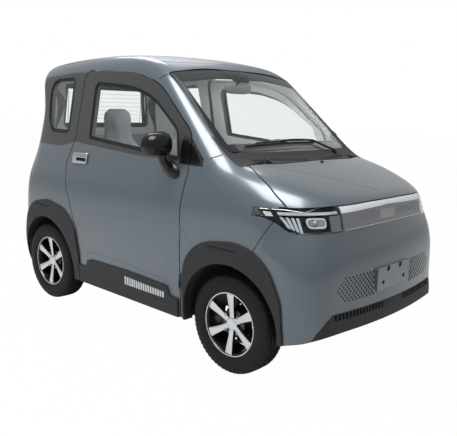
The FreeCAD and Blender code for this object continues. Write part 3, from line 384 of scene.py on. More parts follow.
door_paint = painted("lacquered_steel_doors")
frame_zone(door_paint, door_dark)
sail_zone(door_paint)
zone(door_paint, facing_in(door_paint, 0.35), panel_lining, 0.7)
door_relief = [(0.100, 0.10), (0.790, 0.10), (0.772, 0.346), (0.758, 0.3755), (0.738, 0.3952), (0.700, 0.4034),
               (0.218, 0.4430), (0.190, 0.4330), (0.150, 0.375), (0.100, 0.300)]
door_hollow = [(0.270, 0.20), (0.760, 0.20), (0.749, 0.2532), (0.735, 0.2953), (0.715, 0.3128), (0.660, 0.328),
               (0.506, 0.3362), (0.322, 0.3345), (0.294, 0.3252)]
door_lip = [(0.245, 0.15), (0.722, 0.15), (0.713, 0.2346), (0.702, 0.2508), (0.665, 0.258), (0.463, 0.2556),
            (0.270, 0.2420), (0.252, 0.232)]
plateau(door_paint, (1, 2), seen_from_side(door_relief), relief_edge, relief_height)
plateau(door_paint, (1, 2), seen_from_side(door_hollow), hollow_edge, -hollow_depth)
plateau(door_paint, (1, 2), seen_from_side(door_lip), lip_edge, lip_height)
for side in ("right", "left"):
    dress("door_" + side, door_paint)

fender_paint = painted("lacquered_steel_fenders")
sail_zone(fender_paint)
zone(fender_paint, facing_in(fender_paint, 0.3), panel_lining, 0.7)
plateau(fender_paint, (1, 2), seen_from_side(door_relief), relief_edge, relief_height)
dress("fenders", fender_paint)

# the bonnet's raised middle, which narrows to the nose
bonnet_paint = painted("lacquered_steel_bonnet")
bonnet_fold = [(across(-0.68), along(0.02)), (across(-0.622), along(-0.048)), (across(-0.218), along(-0.505)),
               (across(-0.02), along(-0.735)), (across(0.02), along(-0.735)), (across(0.218), along(-0.505)),
               (across(0.622), along(-0.048)), (across(0.68), along(0.02))]
plateau(bonnet_paint, (0, 1), bonnet_fold, fold_edge, fold_height)
dress("bonnet", bonnet_paint)

bumper_paint = painted("lacquered_plastic_bumper")
zone(bumper_paint, facing(bumper_paint, 1, 0.3), panel_lining, 0.7)
dress("front_bumper", bumper_paint)

tail_paint = painted("lacquered_steel_tailgate")
frame_zone(tail_paint, quarter_dark)
zone(tail_paint, calculate(tail_paint, "LESS_THAN", normal_of(tail_paint)[1], -0.3), panel_lining, 0.7)
dress("tailgate", tail_paint)

rear_paint = painted("lacquered_plastic_rear_bumper")
skirt = calculate(rear_paint, "LESS_THAN", place_of(rear_paint)[2], up(skirt_top))
zone(rear_paint, skirt, "#333437", 0.62)
dress("rear_bumper", rear_paint)

# Cladding: charcoal polypropylene with a fine moulded grain, on the wheel arches, the doors' lower edge, the
# front lip and the cowl. Each piece is clipped on and stays unpainted, so it is matt against the lacquer.
cladding = mottle(new_material("moulded_polypropylene", "#262628", 0.58, specular=0.25), 0.0016, 0.10, 0.06,
                  0.00012)
for node in ("arch_flares", "door_cladding_right", "door_cladding_left", "front_lip", "cowl"):
    dress(node, cladding)

# Glass: clear float glass, bonded into the panels' apertures. It is hardly tinted, and light from the lamps
# passes it, so the cabin is lit as through real panes.


def glass(name, colour, ior):
    """Clear pane that lets lamps through."""
    made = new_material(name, colour, 0.0)
    tree = made.node_tree
    shader = shader_of(made)
    shader.inputs["Transmission Weight"].default_value = 1.0
    shader.inputs["IOR"].default_value = ior
    clear = add_node(tree, "ShaderNodeBsdfTransparent", {"Color": linear("#E6EDEC")}).outputs[0]
    shadow = add_node(tree, "ShaderNodeLightPath").outputs["Is Shadow Ray"]
    mixed = add_node(tree, "ShaderNodeMixShader", {0: shadow, 1: shader.outputs[0], 2: clear})
    tree.links.new(mixed.outputs[0], tree.nodes["Material Output"].inputs["Surface"])
    return made


window_glass = glass("clear_float_glass", "#F6FAF9", 1.3)
for node in ("windscreen", "door_glass_right", "door_glass_left", "quarter_glass", "rear_glass"):
    dress(node, window_glass)

# Wheels: cast aluminium rims with six spokes, turned bright on the face and lip and painted black in the
# pockets, held by four nuts round a plain cap. The tyres are black rubber with ribs and shoulder sipes.
wheel_offset = -joint_places["wheel_front_right_spin"][0]
rim_face = 0.645
rim_depth = 0.130
lip_radius = 0.162
lip_width = 0.0045
barrel_radius = 0.152
hub_face = 0.628
cap_radius = 0.034
spoke_angles = (30, 90, 150, 210, 270, 330)
spoke_depth = 0.020
spoke_crown = 0.0012
spoke_bevel = 0.0022
nut_angles = (45, 135, 225, 315)
nut_circle = 0.056
nut_radius, nut_length = 0.0098, 0.016
nut_out = 0.620
nut_bevel = 0.0018
spoke_bright, lip_bright = 0.93, 0.95
lip_margin = 0.002
start_size = 0.1


def outline(name, corners):
    """Closed outline: a ring of as many corners, each moved to its place."""
    bpy.ops.mesh.primitive_circle_add(vertices=len(corners), radius=start_size)
    piece = bpy.context.object
    piece.name = name
    for vertex, corner in zip(piece.data.vertices, corners):
        vertex.co = corner
    return piece


def pick(piece, *others):
    """Selects these pieces and no other, with the first one active."""
    bpy.ops.object.select_all(action="DESELECT")
    for part in (piece, *others):
        part.select_set(True)
    bpy.context.view_layer.objects.active = piece


def edit(piece, *steps):
    """Runs edit mode steps on all of a piece; each step is an operator and its settings."""
    pick(piece)
    bpy.ops.object.mode_set(mode="EDIT")
    bpy.ops.mesh.select_all(action="SELECT")
    for operator, settings in steps:
        operator(**settings)
    bpy.ops.object.mode_set(mode="OBJECT")
    return piece


merge_doubles = (bpy.ops.mesh.remove_doubles, {"threshold": 1e-5})
face_outwards = (bpy.ops.mesh.normals_make_consistent, {"inside": False})


def tidy_mesh(piece):
    """Merges doubles and turns the faces outwards."""
    return edit(piece, merge_doubles, face_outwards)


def turned(name, profile, steps):
    """Closed profile of (distance out, radius) spun about the wheel's axle, outer face towards -x."""
    piece = outline(name, [(-out, 0, radius) for out, radius in profile])
    edit(piece, (bpy.ops.mesh.spin, {"steps": steps, "angle": 2 * math.pi, "center": (0, 0, 0), "axis": (1, 0, 0)}))
    return tidy_mesh(piece)


def add_modifier(piece, kind, **settings):
    """Adds a modifier and applies it."""
    pick(piece)
    made = piece.modifiers.new("step", kind)
    for name, value in settings.items():
        setattr(made, name, value)
    bpy.ops.object.modifier_apply(modifier=made.name)
    return piece


def bevelled(piece, width):
    """Rounds a piece's sharp edges."""
    return add_modifier(piece, "BEVEL", width=width, segments=2, limit_method="ANGLE", angle_limit=math.radians(50))


def smooth(piece, degrees):
    """Smooth shading up to that angle."""
    pick(piece)
    bpy.ops.object.shade_smooth_by_angle(angle=math.radians(degrees))
    return piece


def joined(name, pieces):
    """Several pieces as one."""
    pick(*pieces)
    if len(pieces) > 1:
        bpy.ops.object.join()
    pieces[0].name = name
    return pieces[0]


def copied(piece, name, change):
    """Copy of a piece with its own mesh, moved by a matrix; a mirrored one is turned outwards again."""
    made = piece.copy()
    made.data = piece.data.copy()
    made.name = name
    scene.collection.objects.link(made)
    made.data.transform(change)
    if change.determinant() < 0:
        made.data.flip_normals()
    return made


def finished(piece, material, body, *stands_for):
    """Gives a piece its material and its body, and hides the nodes it stands for."""
    if material:
        piece.data.materials.clear()
        piece.data.materials.append(material)
    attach(piece, body)
    if stands_for:
        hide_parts(*stands_for)
    return piece


def delete(piece):
    """Takes away a pattern piece that was only copied."""
    bpy.data.objects.remove(piece)


# rim, drawn about the origin with its outer face towards -x
rim_profile = [(rim_face, lip_radius), (rim_face, lip_radius - lip_width), (rim_face - 0.003, lip_radius - 0.006),
               (rim_face - 0.010, lip_radius - 0.009), (rim_face - 0.030, lip_radius - 0.013),
               (rim_face - 0.060, lip_radius - 0.017), (rim_face - 0.100, lip_radius - 0.018),
               (rim_face - rim_depth, lip_radius - 0.016), (rim_face - rim_depth, lip_radius - 0.002),
               (rim_face - rim_depth + 0.006, lip_radius - 0.002), (rim_face - rim_depth + 0.008, barrel_radius),
               (rim_face - 0.008, barrel_radius), (rim_face - 0.006, lip_radius)]
barrel = turned("rim_barrel", rim_profile, 96)
hub_profile = [(0.575, 0.0), (0.612, 0.0), (0.612, 0.030), (0.615, 0.066), (0.610, 0.072), (0.590, 0.078),
               (0.577, 0.088), (0.567, 0.088), (0.567, 0.0)]
hub = turned("rim_hub", hub_profile, 48)
cap_profile = [(hub_face - 0.012, 0.0), (hub_face - 0.012, cap_radius), (hub_face - 0.002, cap_radius),
               (hub_face + 0.0015, cap_radius - 0.004), (hub_face + 0.003, cap_radius - 0.010),
               (hub_face + 0.0042, 0.0)]
cap = turned("rim_cap", cap_profile, 40)

spoke_rows = [  # radius, half width, distance out
    (0.024, 0.0170, 0.6240), (0.045, 0.0158, 0.6255), (0.070, 0.0163, 0.6290), (0.100, 0.0190, 0.6340),
    (0.130, 0.0222, 0.6385), (0.1545, 0.0245, 0.6415)]
bpy.ops.mesh.primitive_grid_add(x_subdivisions=2, y_subdivisions=len(spoke_rows) - 1, size=2)
spoke = bpy.context.object
spoke.name = "rim_spoke"
for vertex in spoke.data.vertices:
    radius, half, out = spoke_rows[round((vertex.co.y + 1) / 2 * (len(spoke_rows) - 1))]
    share = vertex.co.x
    vertex.co = (-out - spoke_crown * (1 - abs(share)), share * half, radius)
edit(spoke, (bpy.ops.mesh.extrude_region_move, {"TRANSFORM_OT_translate": {"value": (spoke_depth, 0, 0)}}))
tidy_mesh(spoke)
bevelled(spoke, spoke_bevel)
spokes = [copied(spoke, "rim_spoke_%d" % angle, Matrix.Rotation(math.radians(angle - 90), 4, "X"))
          for angle in spoke_angles]
delete(spoke)

bpy.ops.mesh.primitive_cylinder_add(vertices=6, radius=nut_radius, depth=nut_length,
                                    location=(-nut_out, 0, nut_circle), rotation=(0, math.pi / 2, 0))
bpy.ops.object.transform_apply()
nut = bpy.context.object
bevelled(nut, nut_bevel)
nuts = [copied(nut, "wheel_nut_%d" % turn_deg, Matrix.Rotation(math.radians(turn_deg), 4, "X"))
        for turn_deg in nut_angles]
delete(nut)

# fine turning marks give the alloy a soft sheen; the black paint mirrors darkly, and the nuts are duller
alloy = mottle(new_material("diamond_turned_aluminium", "#D3D5D8", 0.26, 1.0), 0.0010, 0.03, 0.05, 0)
wheel_black = mottle(new_material("gloss_black_wheel_paint", "#0D0E0F", 0.3, 0.0, 0.6), 0.01, 0.1, 0.05, 0)
nut_steel = mottle(new_material("zinc_plated_nut", "#9A9C9F", 0.3, 1.0), 0.002, 0.05, 0.06, 0)


def turned_bright(piece, least):
    """Black piece whose outward faces beyond a slope are turned bright."""
    piece.data.materials.clear()
    piece.data.materials.append(wheel_black)
    piece.data.materials.append(alloy)
    for face in piece.data.polygons:
        if face.normal.x < -least:
            face.material_index = 1


for piece in spokes:
    turned_bright(piece, spoke_bright)
turned_bright(barrel, lip_bright)
for face in barrel.data.polygons:
    if math.hypot(face.center.y, face.center.z) < lip_radius - lip_width - lip_margin:
        face.material_index = 0
hub.data.materials.append(wheel_black)
cap.data.materials.append(alloy)
for piece in nuts:
    piece.data.materials.append(nut_steel)
rim = smooth(joined("rim", [barrel, hub, cap] + spokes + nuts), 32)

# tyre, with four grooves round it and short sipes across its shoulders
tyre_half = 0.0725
tyre_crown = 0.2538
crown_fall = 0.0028
groove_depth = 0.0055
groove_middles = (-0.50, -0.17, 0.17, 0.50)
groove_mouth, groove_floor = 0.055, 0.040
sipe_depth = 0.004
sipe_start = 0.2345
sipe_inner = 0.60
sipe_every = 3
side_rows = [  # share of the half width, radius
    (0.74, 0.1523), (0.76, 0.1600), (0.90, 0.1680), (0.97, 0.1800), (1.0, 0.1960), (0.99, 0.2120),
    (0.955, 0.2260), (0.935, 0.2300), (0.93, 0.2340), (0.88, 0.2425), (0.80, 0.2480), (0.70, 0.2508)]
tyre_profile = [(-tyre_half * share, radius) for share, radius in side_rows]
for middle in groove_middles:
    crown = tyre_crown - crown_fall * abs(middle)
    for step, depth in ((-groove_mouth, 0), (-groove_floor, groove_depth), (groove_floor, groove_depth),
                        (groove_mouth, 0)):
        tyre_profile.append((tyre_half * (middle + step), crown - depth))
tyre_profile += [(tyre_half * share, radius) for share, radius in reversed(side_rows)]
tyre_steps = 180
tyre = turned("tyre", [(wheel_offset - a, b) for a, b in tyre_profile], tyre_steps)
for vertex in tyre.data.vertices:
    x, y, z = vertex.co
    radius = math.hypot(y, z)
    from_middle = abs(-x - wheel_offset)
    step = round(math.degrees(math.atan2(y, z)) * tyre_steps / 360)
    if from_middle > tyre_half * sipe_inner and radius > sipe_start and step % sipe_every == 0:
        vertex.co.y *= 1 - sipe_depth / radius
        vertex.co.z *= 1 - sipe_depth / radius
smooth(tyre, 28)

# carbon black makes the rubber nearly black and dull, with a fine moulded grain
rubber = mottle(new_material("carbon_black_rubber", "#0D0D0E", 0.62, specular=0.25), 0.0015, 0.15, 0.08, 0.00008)
for end in ("front", "rear"):
    for side, way in (("right", 1), ("left", -1)):
        centre = Vector(joint_places["wheel_%s_%s_spin" % (end, side)])
        centre.x = 0
        place = Matrix.Translation(centre) @ Matrix.Diagonal((way, 1, 1, 1))
        body = "wheel_%s_%s" % (end, side)
        finished(copied(rim, "alloy_rim_%s_%s" % (end, side), place), None, body, "rim_%s_%s" % (end, side))
        finished(copied(tyre, "treaded_tyre_%s_%s" % (end, side), place), rubber, body, "tyre_%s_%s" % (end, side))
delete(rim)
delete(tyre)

# Window borders: a black ceramic band is printed round each pane and fired on, deeper at the windscreen's
# head. A round rubber seal is pressed into the gap at the pane's edge.
pane_gap = 0.004
print_proud = 0.0006
bead_proud = 0.001
bead_radius = 0.0042
head_band = 0.018
head_share = 0.88
side_rounding, end_rounding = 1.6, 0.8


def rounded(corners, steps=6, most=0.48):
    """Closed outline whose corners (a, b, radius) are rounded off, over that share of each side at most."""
    points = []
    count = len(corners)
    for k in range(count):
        corner = Vector(corners[k][:2])
        back = Vector(corners[k - 1][:2]) - corner
        ahead = Vector(corners[(k + 1) % count][:2]) - corner
        reach = min(corners[k][2] / math.tan(back.angle(ahead) / 2), most * back.length, most * ahead.length)
        start = corner + back.normalized() * reach
        end = corner + ahead.normalized() * reach
        for step in range(steps + 1):
            share = step / steps
            points.append(start * (1 - share) ** 2 + corner * 2 * share * (1 - share) + end * share ** 2)
    return points


def shrunk(points, width):
    """Closed outline moved inwards by a width; its points go anticlockwise."""
    moved = []
    for k, point in enumerate(points):
        along_edge = (points[(k + 1) % len(points)] - points[k - 1]).normalized()
        moved.append(point + Vector((-along_edge.y, along_edge.x)) * width)
    return moved


def anticlockwise(points):
    """The outline's points, turned round if they go clockwise."""
    area = sum(a.x * b.y - b.x * a.y for a, b in zip(points, points[1:] + points[:1]))
    return points if area > 0 else points[::-1]


node_skins = {}


def surface_of(mesh):
    """A mesh's surface, ready for finding places on it."""
    return BVHTree.FromPolygons([vertex.co[:] for vertex in mesh.vertices],
                                [face.vertices[:] for face in mesh.polygons])


def skin_of(node):
    """A node's surface, made once."""
    if node not in node_skins:
        node_skins[node] = surface_of(nodes[node].data)
    return node_skins[node]


# for each view: which axis looks at the car, the eye's place on it, and a place just outside the panels
views = {"side": (0, -2.0, -0.62), "front": (1, -3.0, -1.15), "back": (1, 3.0, 1.2), "above": (2, 3.0, 1.06)}


def onto(node, view, point, proud):
    """Place on a node's outer surface, that far proud of it. Where the view's ray misses, the nearest place."""
    axis, eye, nearby = views[view]
    start = Vector(point)
    start = Vector((*start[:axis], eye, *start[axis:]))
    way = Vector((0, 0, 0))
    way[axis] = -math.copysign(1, eye)
    place, normal, face, distance = skin_of(node).ray_cast(start, way)
    if place is None:
        start[axis] = nearby
        place, normal, face, distance = skin_of(node).find_nearest(start)
    return place + normal * proud


def band(name, node, view, outer_points, inner_points, proud):
    """Flat band between two outlines with as many points, laid on a node."""
    count = len(outer_points)
    corners = [onto(node, view, point, proud) for point in outer_points + inner_points]
    bpy.ops.mesh.primitive_circle_add(vertices=count, radius=start_size)
    piece = bpy.context.object
    piece.name = name
    edit(piece, (bpy.ops.mesh.extrude_region_move, {"TRANSFORM_OT_translate": {"value": (0, 0, start_size)}}))
    for vertex, corner in zip(piece.data.vertices, corners):
        vertex.co = corner
    return piece


def both_sides(piece, material, body_right="chassis", body_left="chassis"):
    """The piece on the right and its mirror image on the left."""
    left = copied(piece, piece.name + "_left", Matrix.Diagonal((-1, 1, 1, 1)))
    piece.name += "_right"
    finished(piece, material, body_right)
    finished(left, material, body_left)
    return piece, left


def seal(name, places, radius, closed=True):
    """Round rubber bead through a row of places."""
    bpy.ops.curve.primitive_nurbs_path_add()
    piece = bpy.context.object
    piece.name = name
    piece.data.splines.clear()
    line = piece.data.splines.new("POLY")
    line.points.add(len(places) - 1)
    for point, place in zip(line.points, places):
        point.co = (*place, 1)
    line.use_cyclic_u = closed
    piece.data.bevel_depth = radius
    piece.data.bevel_resolution = 2
    piece.data.use_fill_caps = not closed
    pick(piece)
    bpy.ops.object.convert(target="MESH")
    piece.data.transform(piece.matrix_world)
    piece.matrix_world = Matrix.Identity(4)
    return smooth(piece, 60)


# the fired ceramic is even and half glossy behind the glass, and the rubber is duller; the same rubber finish
# is also laid as painted shade in the gaps between fixed panels
frit_black = mottle(new_material("ceramic_frit", "#17181A", 0.35, specular=0.25), 0.02, 0.05, 0.02, 0)
rubber_and_joint_shade = mottle(new_material("epdm_seal_rubber", "#121213", 0.55, specular=0.25), 0.003, 0.1, 0.06, 0)


def pane_corner(view, row):
    """A pane's corner and its rounding in metres."""
    if view == "side":
        return along(row[0]), up(row[1]), row[2] * side_rounding
    return across(row[0]), up(row[1]), row[2] * end_rounding


def mirrored_half(rows):
    """Right half of an outline with its mirror image."""
    return rows + [(-a, b, radius) for a, b, radius in reversed(rows)]


door_pane = [(0.228, 0.640, 0.015), (0.257, 0.741, 0.05), (0.396, 0.841, 0.30), (0.516, 0.876, 0.50),
             (0.742, 0.892, 0.030), (0.730, 0.680, 0.015)]
quarter_pane = [(0.864, 0.692, 0.030), (0.877, 0.908, 0.025), (1.170, 0.901, 0.050), (1.182, 0.8175, 0.080),
                (1.125, 0.7450, 0.060), (1.000, 0.6935, 0.050)]
screen_pane = mirrored_half([(-0.800, 0.672, 0.06), (-0.768, 0.922, 0.04), (-0.400, 0.944, 2.0)])
tail_pane = mirrored_half([(-0.560, 0.700, 0.05), (-0.520, 0.890, 0.05)])
panes = (("door_glass", "door_glass_right", "side", door_pane, 0.016, "door_right", "door_left"),
         ("quarter_glass", "quarter_glass", "side", quarter_pane, 0.018, "chassis", "chassis"),
         ("windscreen", "windscreen", "front", screen_pane, 0.036, "chassis", None),
         ("rear_glass", "rear_glass", "back", tail_pane, 0.030, "tailgate", None))
for name, node, view, rows, width, body_right, body_left in panes:
    edge = anticlockwise(rounded([pane_corner(view, row) for row in rows]))
    edge = shrunk(edge, pane_gap)
    inner_edge = shrunk(edge, width)
    if name == "windscreen":
        inner_edge = [point - Vector((0, head_band)) if point.y > up(head_share) else point for point in inner_edge]
    printed = band(name + "_border", node, view, edge, inner_edge, print_proud)
    bead = seal(name + "_seal", [onto(node, view, point, bead_proud) for point in edge], bead_radius)
    if body_left:
        both_sides(printed, frit_black, body_right, body_left)
        both_sides(bead, rubber_and_joint_shade, body_right, body_left)
    else:
        finished(printed, frit_black, body_right)
        finished(bead, rubber_and_joint_shade, body_right)

# Headlamps: a black moulded bowl behind a clear lens. In it are a frosted daytime strip, a reflector at the
# outer tip, four slanted clear ribs, a projector in a chromed bezel and a smoked panel towards the middle.
lamp_depth = 0.042
lens_wall = 0.0022
lens_facing = 0.05
strip_half, tip_half, panel_half = 0.0062, 0.0095, 0.036
part_depth = 0.009
part_thick = 0.006
rib_top_z = 0.829
rib_half = 0.0043
rib_depth, rib_crown = 0.012, 0.004
bezel_centre = (-0.504, 0.810)
bezel_half = (0.044, 0.0245)
bezel_round = 0.021
eye_x = -0.514
eye_radius = 0.0150
eye_depth = 0.018
panel_depth, panel_thick = 0.007, 0.003
trim_proud, trim_radius = 0.0006, 0.0020


def picked_faces(piece, wanted):
    """Deletes the faces of a piece that wanted says no to."""
    pick(piece)
    bpy.ops.object.mode_set(mode="EDIT")
    bpy.ops.mesh.select_all(action="DESELECT")
    bpy.ops.mesh.select_mode(type="FACE")
    bpy.ops.object.mode_set(mode="OBJECT")
    for face in piece.data.polygons:
        face.select = not wanted(face)
    bpy.ops.object.mode_set(mode="EDIT")
    bpy.ops.mesh.delete(type="FACE")
    bpy.ops.object.mode_set(mode="OBJECT")
    return piece


lamp_skin = copied(nodes["headlamps"], "headlamp_lens", Matrix.Identity(4))
lamp_skin.parent = None
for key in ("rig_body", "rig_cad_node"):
    if key in lamp_skin:
        del lamp_skin[key]
edit(lamp_skin, merge_doubles)
picked_faces(lamp_skin, lambda face: face.normal.y < -lens_facing and face.center.x < 0)
bowl = copied(lamp_skin, "headlamp_bowl", Matrix.Identity(4))
mouth = len(bowl.data.vertices)
edit(bowl, (bpy.ops.mesh.extrude_region_shrink_fatten, {"TRANSFORM_OT_shrink_fatten": {"value": -lamp_depth}}))
picked_faces(bowl, lambda face: any(corner >= mouth for corner in face.vertices))
# the lens is clear and bends light little, and the black bowl behind it hides its depth
lens_glass = glass("clear_polycarbonate", "#F4F7F8", 1.2)
lamp_black = mottle(new_material("gloss_black_lamp_bowl", "#0B0C0D", 0.25, specular=0.15), 0.01, 0.1, 0.05, 0)
add_modifier(lamp_skin, "SOLIDIFY", thickness=lens_wall, offset=-1)
smooth(lamp_skin, 40)
both_sides(lamp_skin, lens_glass)
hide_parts("headlamps")


def lamp_place(x, z, depth):
    """Place behind the right lamp's lens, that deep."""
    return onto("headlamps", "front", (x, z), -depth)


def lamp_strip(name, line, half_height, depth, thick, columns=24, rows=2):
    """Strip behind the lens along a line of (x, z) points, with a thickness."""
    bpy.ops.mesh.primitive_grid_add(x_subdivisions=columns, y_subdivisions=rows, size=2)
    piece = bpy.context.object
    piece.name = name
    for vertex in piece.data.vertices:
        place = (vertex.co.x + 1) / 2 * (len(line) - 1)
        k = min(int(place), len(line) - 2)
        share = place - k
        x = line[k][0] * (1 - share) + line[k + 1][0] * share
        z = line[k][1] * (1 - share) + line[k + 1][1] * share
        vertex.co = lamp_place(x, z + vertex.co.y * half_height, depth)
    add_modifier(piece, "SOLIDIFY", thickness=thick, offset=0)
    tidy_mesh(piece)
    return smooth(piece, 40)


# the light guides are milky when unlit, and the bezel and tip mirror the surround
frosted = mottle(new_material("frosted_light_guide", "#8A8E91", 0.3, 0.0, 0.3), 0.004, 0.25, 0.05, 0)
chrome = mottle(new_material("vapour_chromed_plastic", "#D5D8DB", 0.12, 1.0), 0.02, 0.03, 0.03, 0)
daytime_line = [(-0.615, 0.8450), (-0.580, 0.8475), (-0.535, 0.8490), (-0.470, 0.8510), (-0.404, 0.8525)]
both_sides(lamp_strip("daytime_strip", daytime_line, strip_half, part_depth, part_thick), frosted)
tip_line = [(-0.640, 0.8395), (-0.627, 0.8405)]
both_sides(lamp_strip("tip_reflector", tip_line, tip_half, part_depth, part_thick, 6, 6), chrome)
rib_rows = [  # place across at its top and at its foot, and its foot's height
    (-0.611, -0.600, 0.783), (-0.597, -0.590, 0.777), (-0.583, -0.580, 0.771), (-0.569, -0.570, 0.767)]
bars = []
for top_x, low_x, low_z in rib_rows:
    bpy.ops.mesh.primitive_grid_add(x_subdivisions=3, y_subdivisions=8, size=2)
    bar = bpy.context.object
    for vertex in bar.data.vertices:
        share = (vertex.co.y + 1) / 2
        x = low_x * (1 - share) + top_x * share + vertex.co.x * rib_half
        depth = rib_depth - rib_crown * (1 - abs(vertex.co.x))
        vertex.co = lamp_place(x, low_z * (1 - share) + rib_top_z * share, depth)
    add_modifier(bar, "SOLIDIFY", thickness=rib_depth, offset=-1)
    bars.append(tidy_mesh(bar))
both_sides(smooth(joined("lamp_ribs", bars), 40), frosted)

# projector: its bezel is a rounded frame with a dished face, and its eye a glass dome in a dark ring
square = ((-1, -1), (1, -1), (1, 1), (-1, 1))
bezel_line = rounded([(bezel_half[0] * a, bezel_half[1] * b, bezel_round) for a, b in square])
# share of the width, share of the height, depth behind the lens
bezel_rows = [(0.94, 0.94, 0.020), (1.0, 1.0, 0.012), (0.96, 0.94, 0.0095), (0.86, 0.76, 0.011), (0.78, 0.64, 0.020)]
dish_rows = [(0.82, 0.70, 0.0200), (0.80, 0.68, 0.0175), (0.60, 0.50, 0.0195)]


def skinned(name, loops):
    """Rings of places joined into a skin, with a face over the last ring and all faces outwards."""
    count = len(loops[0])
    bpy.ops.mesh.primitive_circle_add(vertices=count, radius=start_size)
    piece = bpy.context.object
    piece.name = name
    edit(piece, *[(bpy.ops.mesh.extrude_region_move, {"TRANSFORM_OT_translate": {"value": (0, 0, start_size)}})
                  for _ in loops[1:]])
    for vertex, place in zip(piece.data.vertices, [place for loop in loops for place in loop]):
        vertex.co = place
    bpy.ops.object.mode_set(mode="EDIT")
    bpy.ops.mesh.select_all(action="DESELECT")
    bpy.ops.object.mode_set(mode="OBJECT")
    for vertex in piece.data.vertices[-count:]:
        vertex.select = True
    bpy.ops.object.mode_set(mode="EDIT")
    bpy.ops.mesh.select_mode(type="VERT")
    bpy.ops.mesh.edge_face_add()
    bpy.ops.object.mode_set(mode="OBJECT")
    return edit(piece, face_outwards)


def bezel_ring(wide, high, depth):
    """The bezel's outline, scaled, that deep behind the lens."""
    return [lamp_place(bezel_centre[0] + p.x * wide, bezel_centre[1] + p.y * high, depth) for p in bezel_line]


def ball(name, place, halves, segments, rings):
    """Ellipsoid about a place."""
    bpy.ops.mesh.primitive_uv_sphere_add(segments=segments, ring_count=rings, radius=1.0, location=place)
    piece = bpy.context.object
    piece.name = name
    piece.scale = halves
    bpy.ops.object.transform_apply()
    return piece


bezel = skinned("projector_bezel", [bezel_ring(*row) for row in bezel_rows])
both_sides(smooth(bezel, 40), chrome)
dish = skinned("projector_dish", [bezel_ring(*row) for row in dish_rows])
dish_grey = mottle(new_material("satin_projector_dish", "#6E7276", 0.35, 0.4), 0.004, 0.1, 0.05, 0)
both_sides(smooth(dish, 40), dish_grey)
eye = ball("projector_eye", lamp_place(eye_x, bezel_centre[1], eye_depth), [eye_radius] * 3, 32, 16)
eye_glass = mottle(new_material("projector_lens_glass", "#5E646A", 0.05, 0.0, 1.0), 0.02, 0.05, 0.02, 0)
both_sides(smooth(eye, 60), eye_glass)
smoked = mottle(new_material("smoked_acrylic", "#3C3D41", 0.16, 0.0, 0.8), 0.3, 0.05, 0.02, 0)
smoked_line = [(-0.452, 0.802), (-0.394, 0.804)]
both_sides(lamp_strip("smoked_lamp_panel", smoked_line, panel_half, panel_depth, panel_thick, 10, 8), smoked)
both_sides(bowl, lamp_black)
trim_line = [(-0.397, 0.8830), (-0.480, 0.8797), (-0.569, 0.8722), (-0.592, 0.8605), (-0.640, 0.8590)]
lamp_trim = seal("lamp_trim", [lamp_place(x, z, -trim_proud) for x, z in trim_line], trim_radius, closed=False)
both_sides(lamp_trim, chrome)

# Light bar: one smoked acrylic panel across the nose, with a frosted strip along its top and a plain blank
# in the middle. It is bonded into the bumper's upper edge.
strip_shares = [[(-0.60, 0.5245), (0.0, 0.5336), (0.0, 0.58), (-0.60, 0.58)],
                [(0.0, 0.5336), (0.60, 0.5245), (0.60, 0.58), (0.0, 0.58)]]
blank_centre = (across(-0.019), up(0.5062))
blank_half = (0.073, 0.021)
blank_edge, blank_height = 0.002, 0.002
trim_first_x, trim_step = -0.372, 0.031
trim_count = 25
trim_share, trim_rise = 0.4785, 0.0030
trim_flat, trim_fall, trim_fall_length = 0.2, 0.0040, 0.352
bar_trim_proud, bar_trim_radius = 0.0004, 0.0016
# smoked acrylic looks grey where it backs the frosted strip and darker below
bar_finish = mottle(new_material("smoked_acrylic_panel", "#5E5F64", 0.2, 0.0, 0.6), 0.3, 0.05, 0.02, 0)
blank_box = [(blank_centre[0] + a * blank_half[0], blank_centre[1] + b * blank_half[1]) for a, b in square]
zone(bar_finish, inside(bar_finish, (0, 2), blank_box), "#7C7D7B", 0.3, 0.0, 0.4)
for rows in strip_shares:
    corners = [(across(a), up(b)) for a, b in rows]
    zone(bar_finish, inside(bar_finish, (0, 2), corners), "#C3C6C9", 0.25, 0.0, 0.4)
plateau(bar_finish, (0, 2), blank_box, blank_edge, blank_height)
dress("light_bar", bar_finish)
lower_edge = []
for step in range(trim_count):
    x = trim_first_x + trim_step * step
    drop = max(0.0, abs(x) / half_width - trim_flat) / trim_fall_length
    spot = (x, up(trim_share - trim_fall * drop) + trim_rise)
    lower_edge.append(onto("light_bar", "front", spot, bar_trim_proud))
finished(seal("light_bar_trim", lower_edge, bar_trim_radius, closed=False), chrome, "chassis")

# Small recesses and covers: a field of punched diamonds on each side of the bumper's plate bracket, smaller
# towards the flanks, the bracket's square and round holes, a slot in each arch flare, and a cover clipped
# over the tow eye. The recesses are not cut: thin dark plates and beads laid on the surface are painted shade
# that stands for the shadow inside each hole and slot.
painted_recess_shade = mottle(new_material("shadowed_recess", "#0C0D0F", 0.7, specular=0.2), 0.002, 0.2, 0.05, 0)
punch_rows = 9
punch_low, punch_rise = 0.4430, 0.0134
punch_first, punch_pitch = 0.1830, 0.0268
punch_end = 0.470
punch_large, punch_small = 0.0077, 0.0044
punch_tall = 1.15
punch_taper = 0.055
punch_proud, punch_thick = 0.0005, 0.0008
slot_spans = ((-0.832, -0.655), (0.818, 0.977))
slot_height = 0.6375
slot_proud, slot_radius = 0.0002, 0.0026
cover_round = 0.005
clip_bevel = 0.0006
clip_depth = 0.002
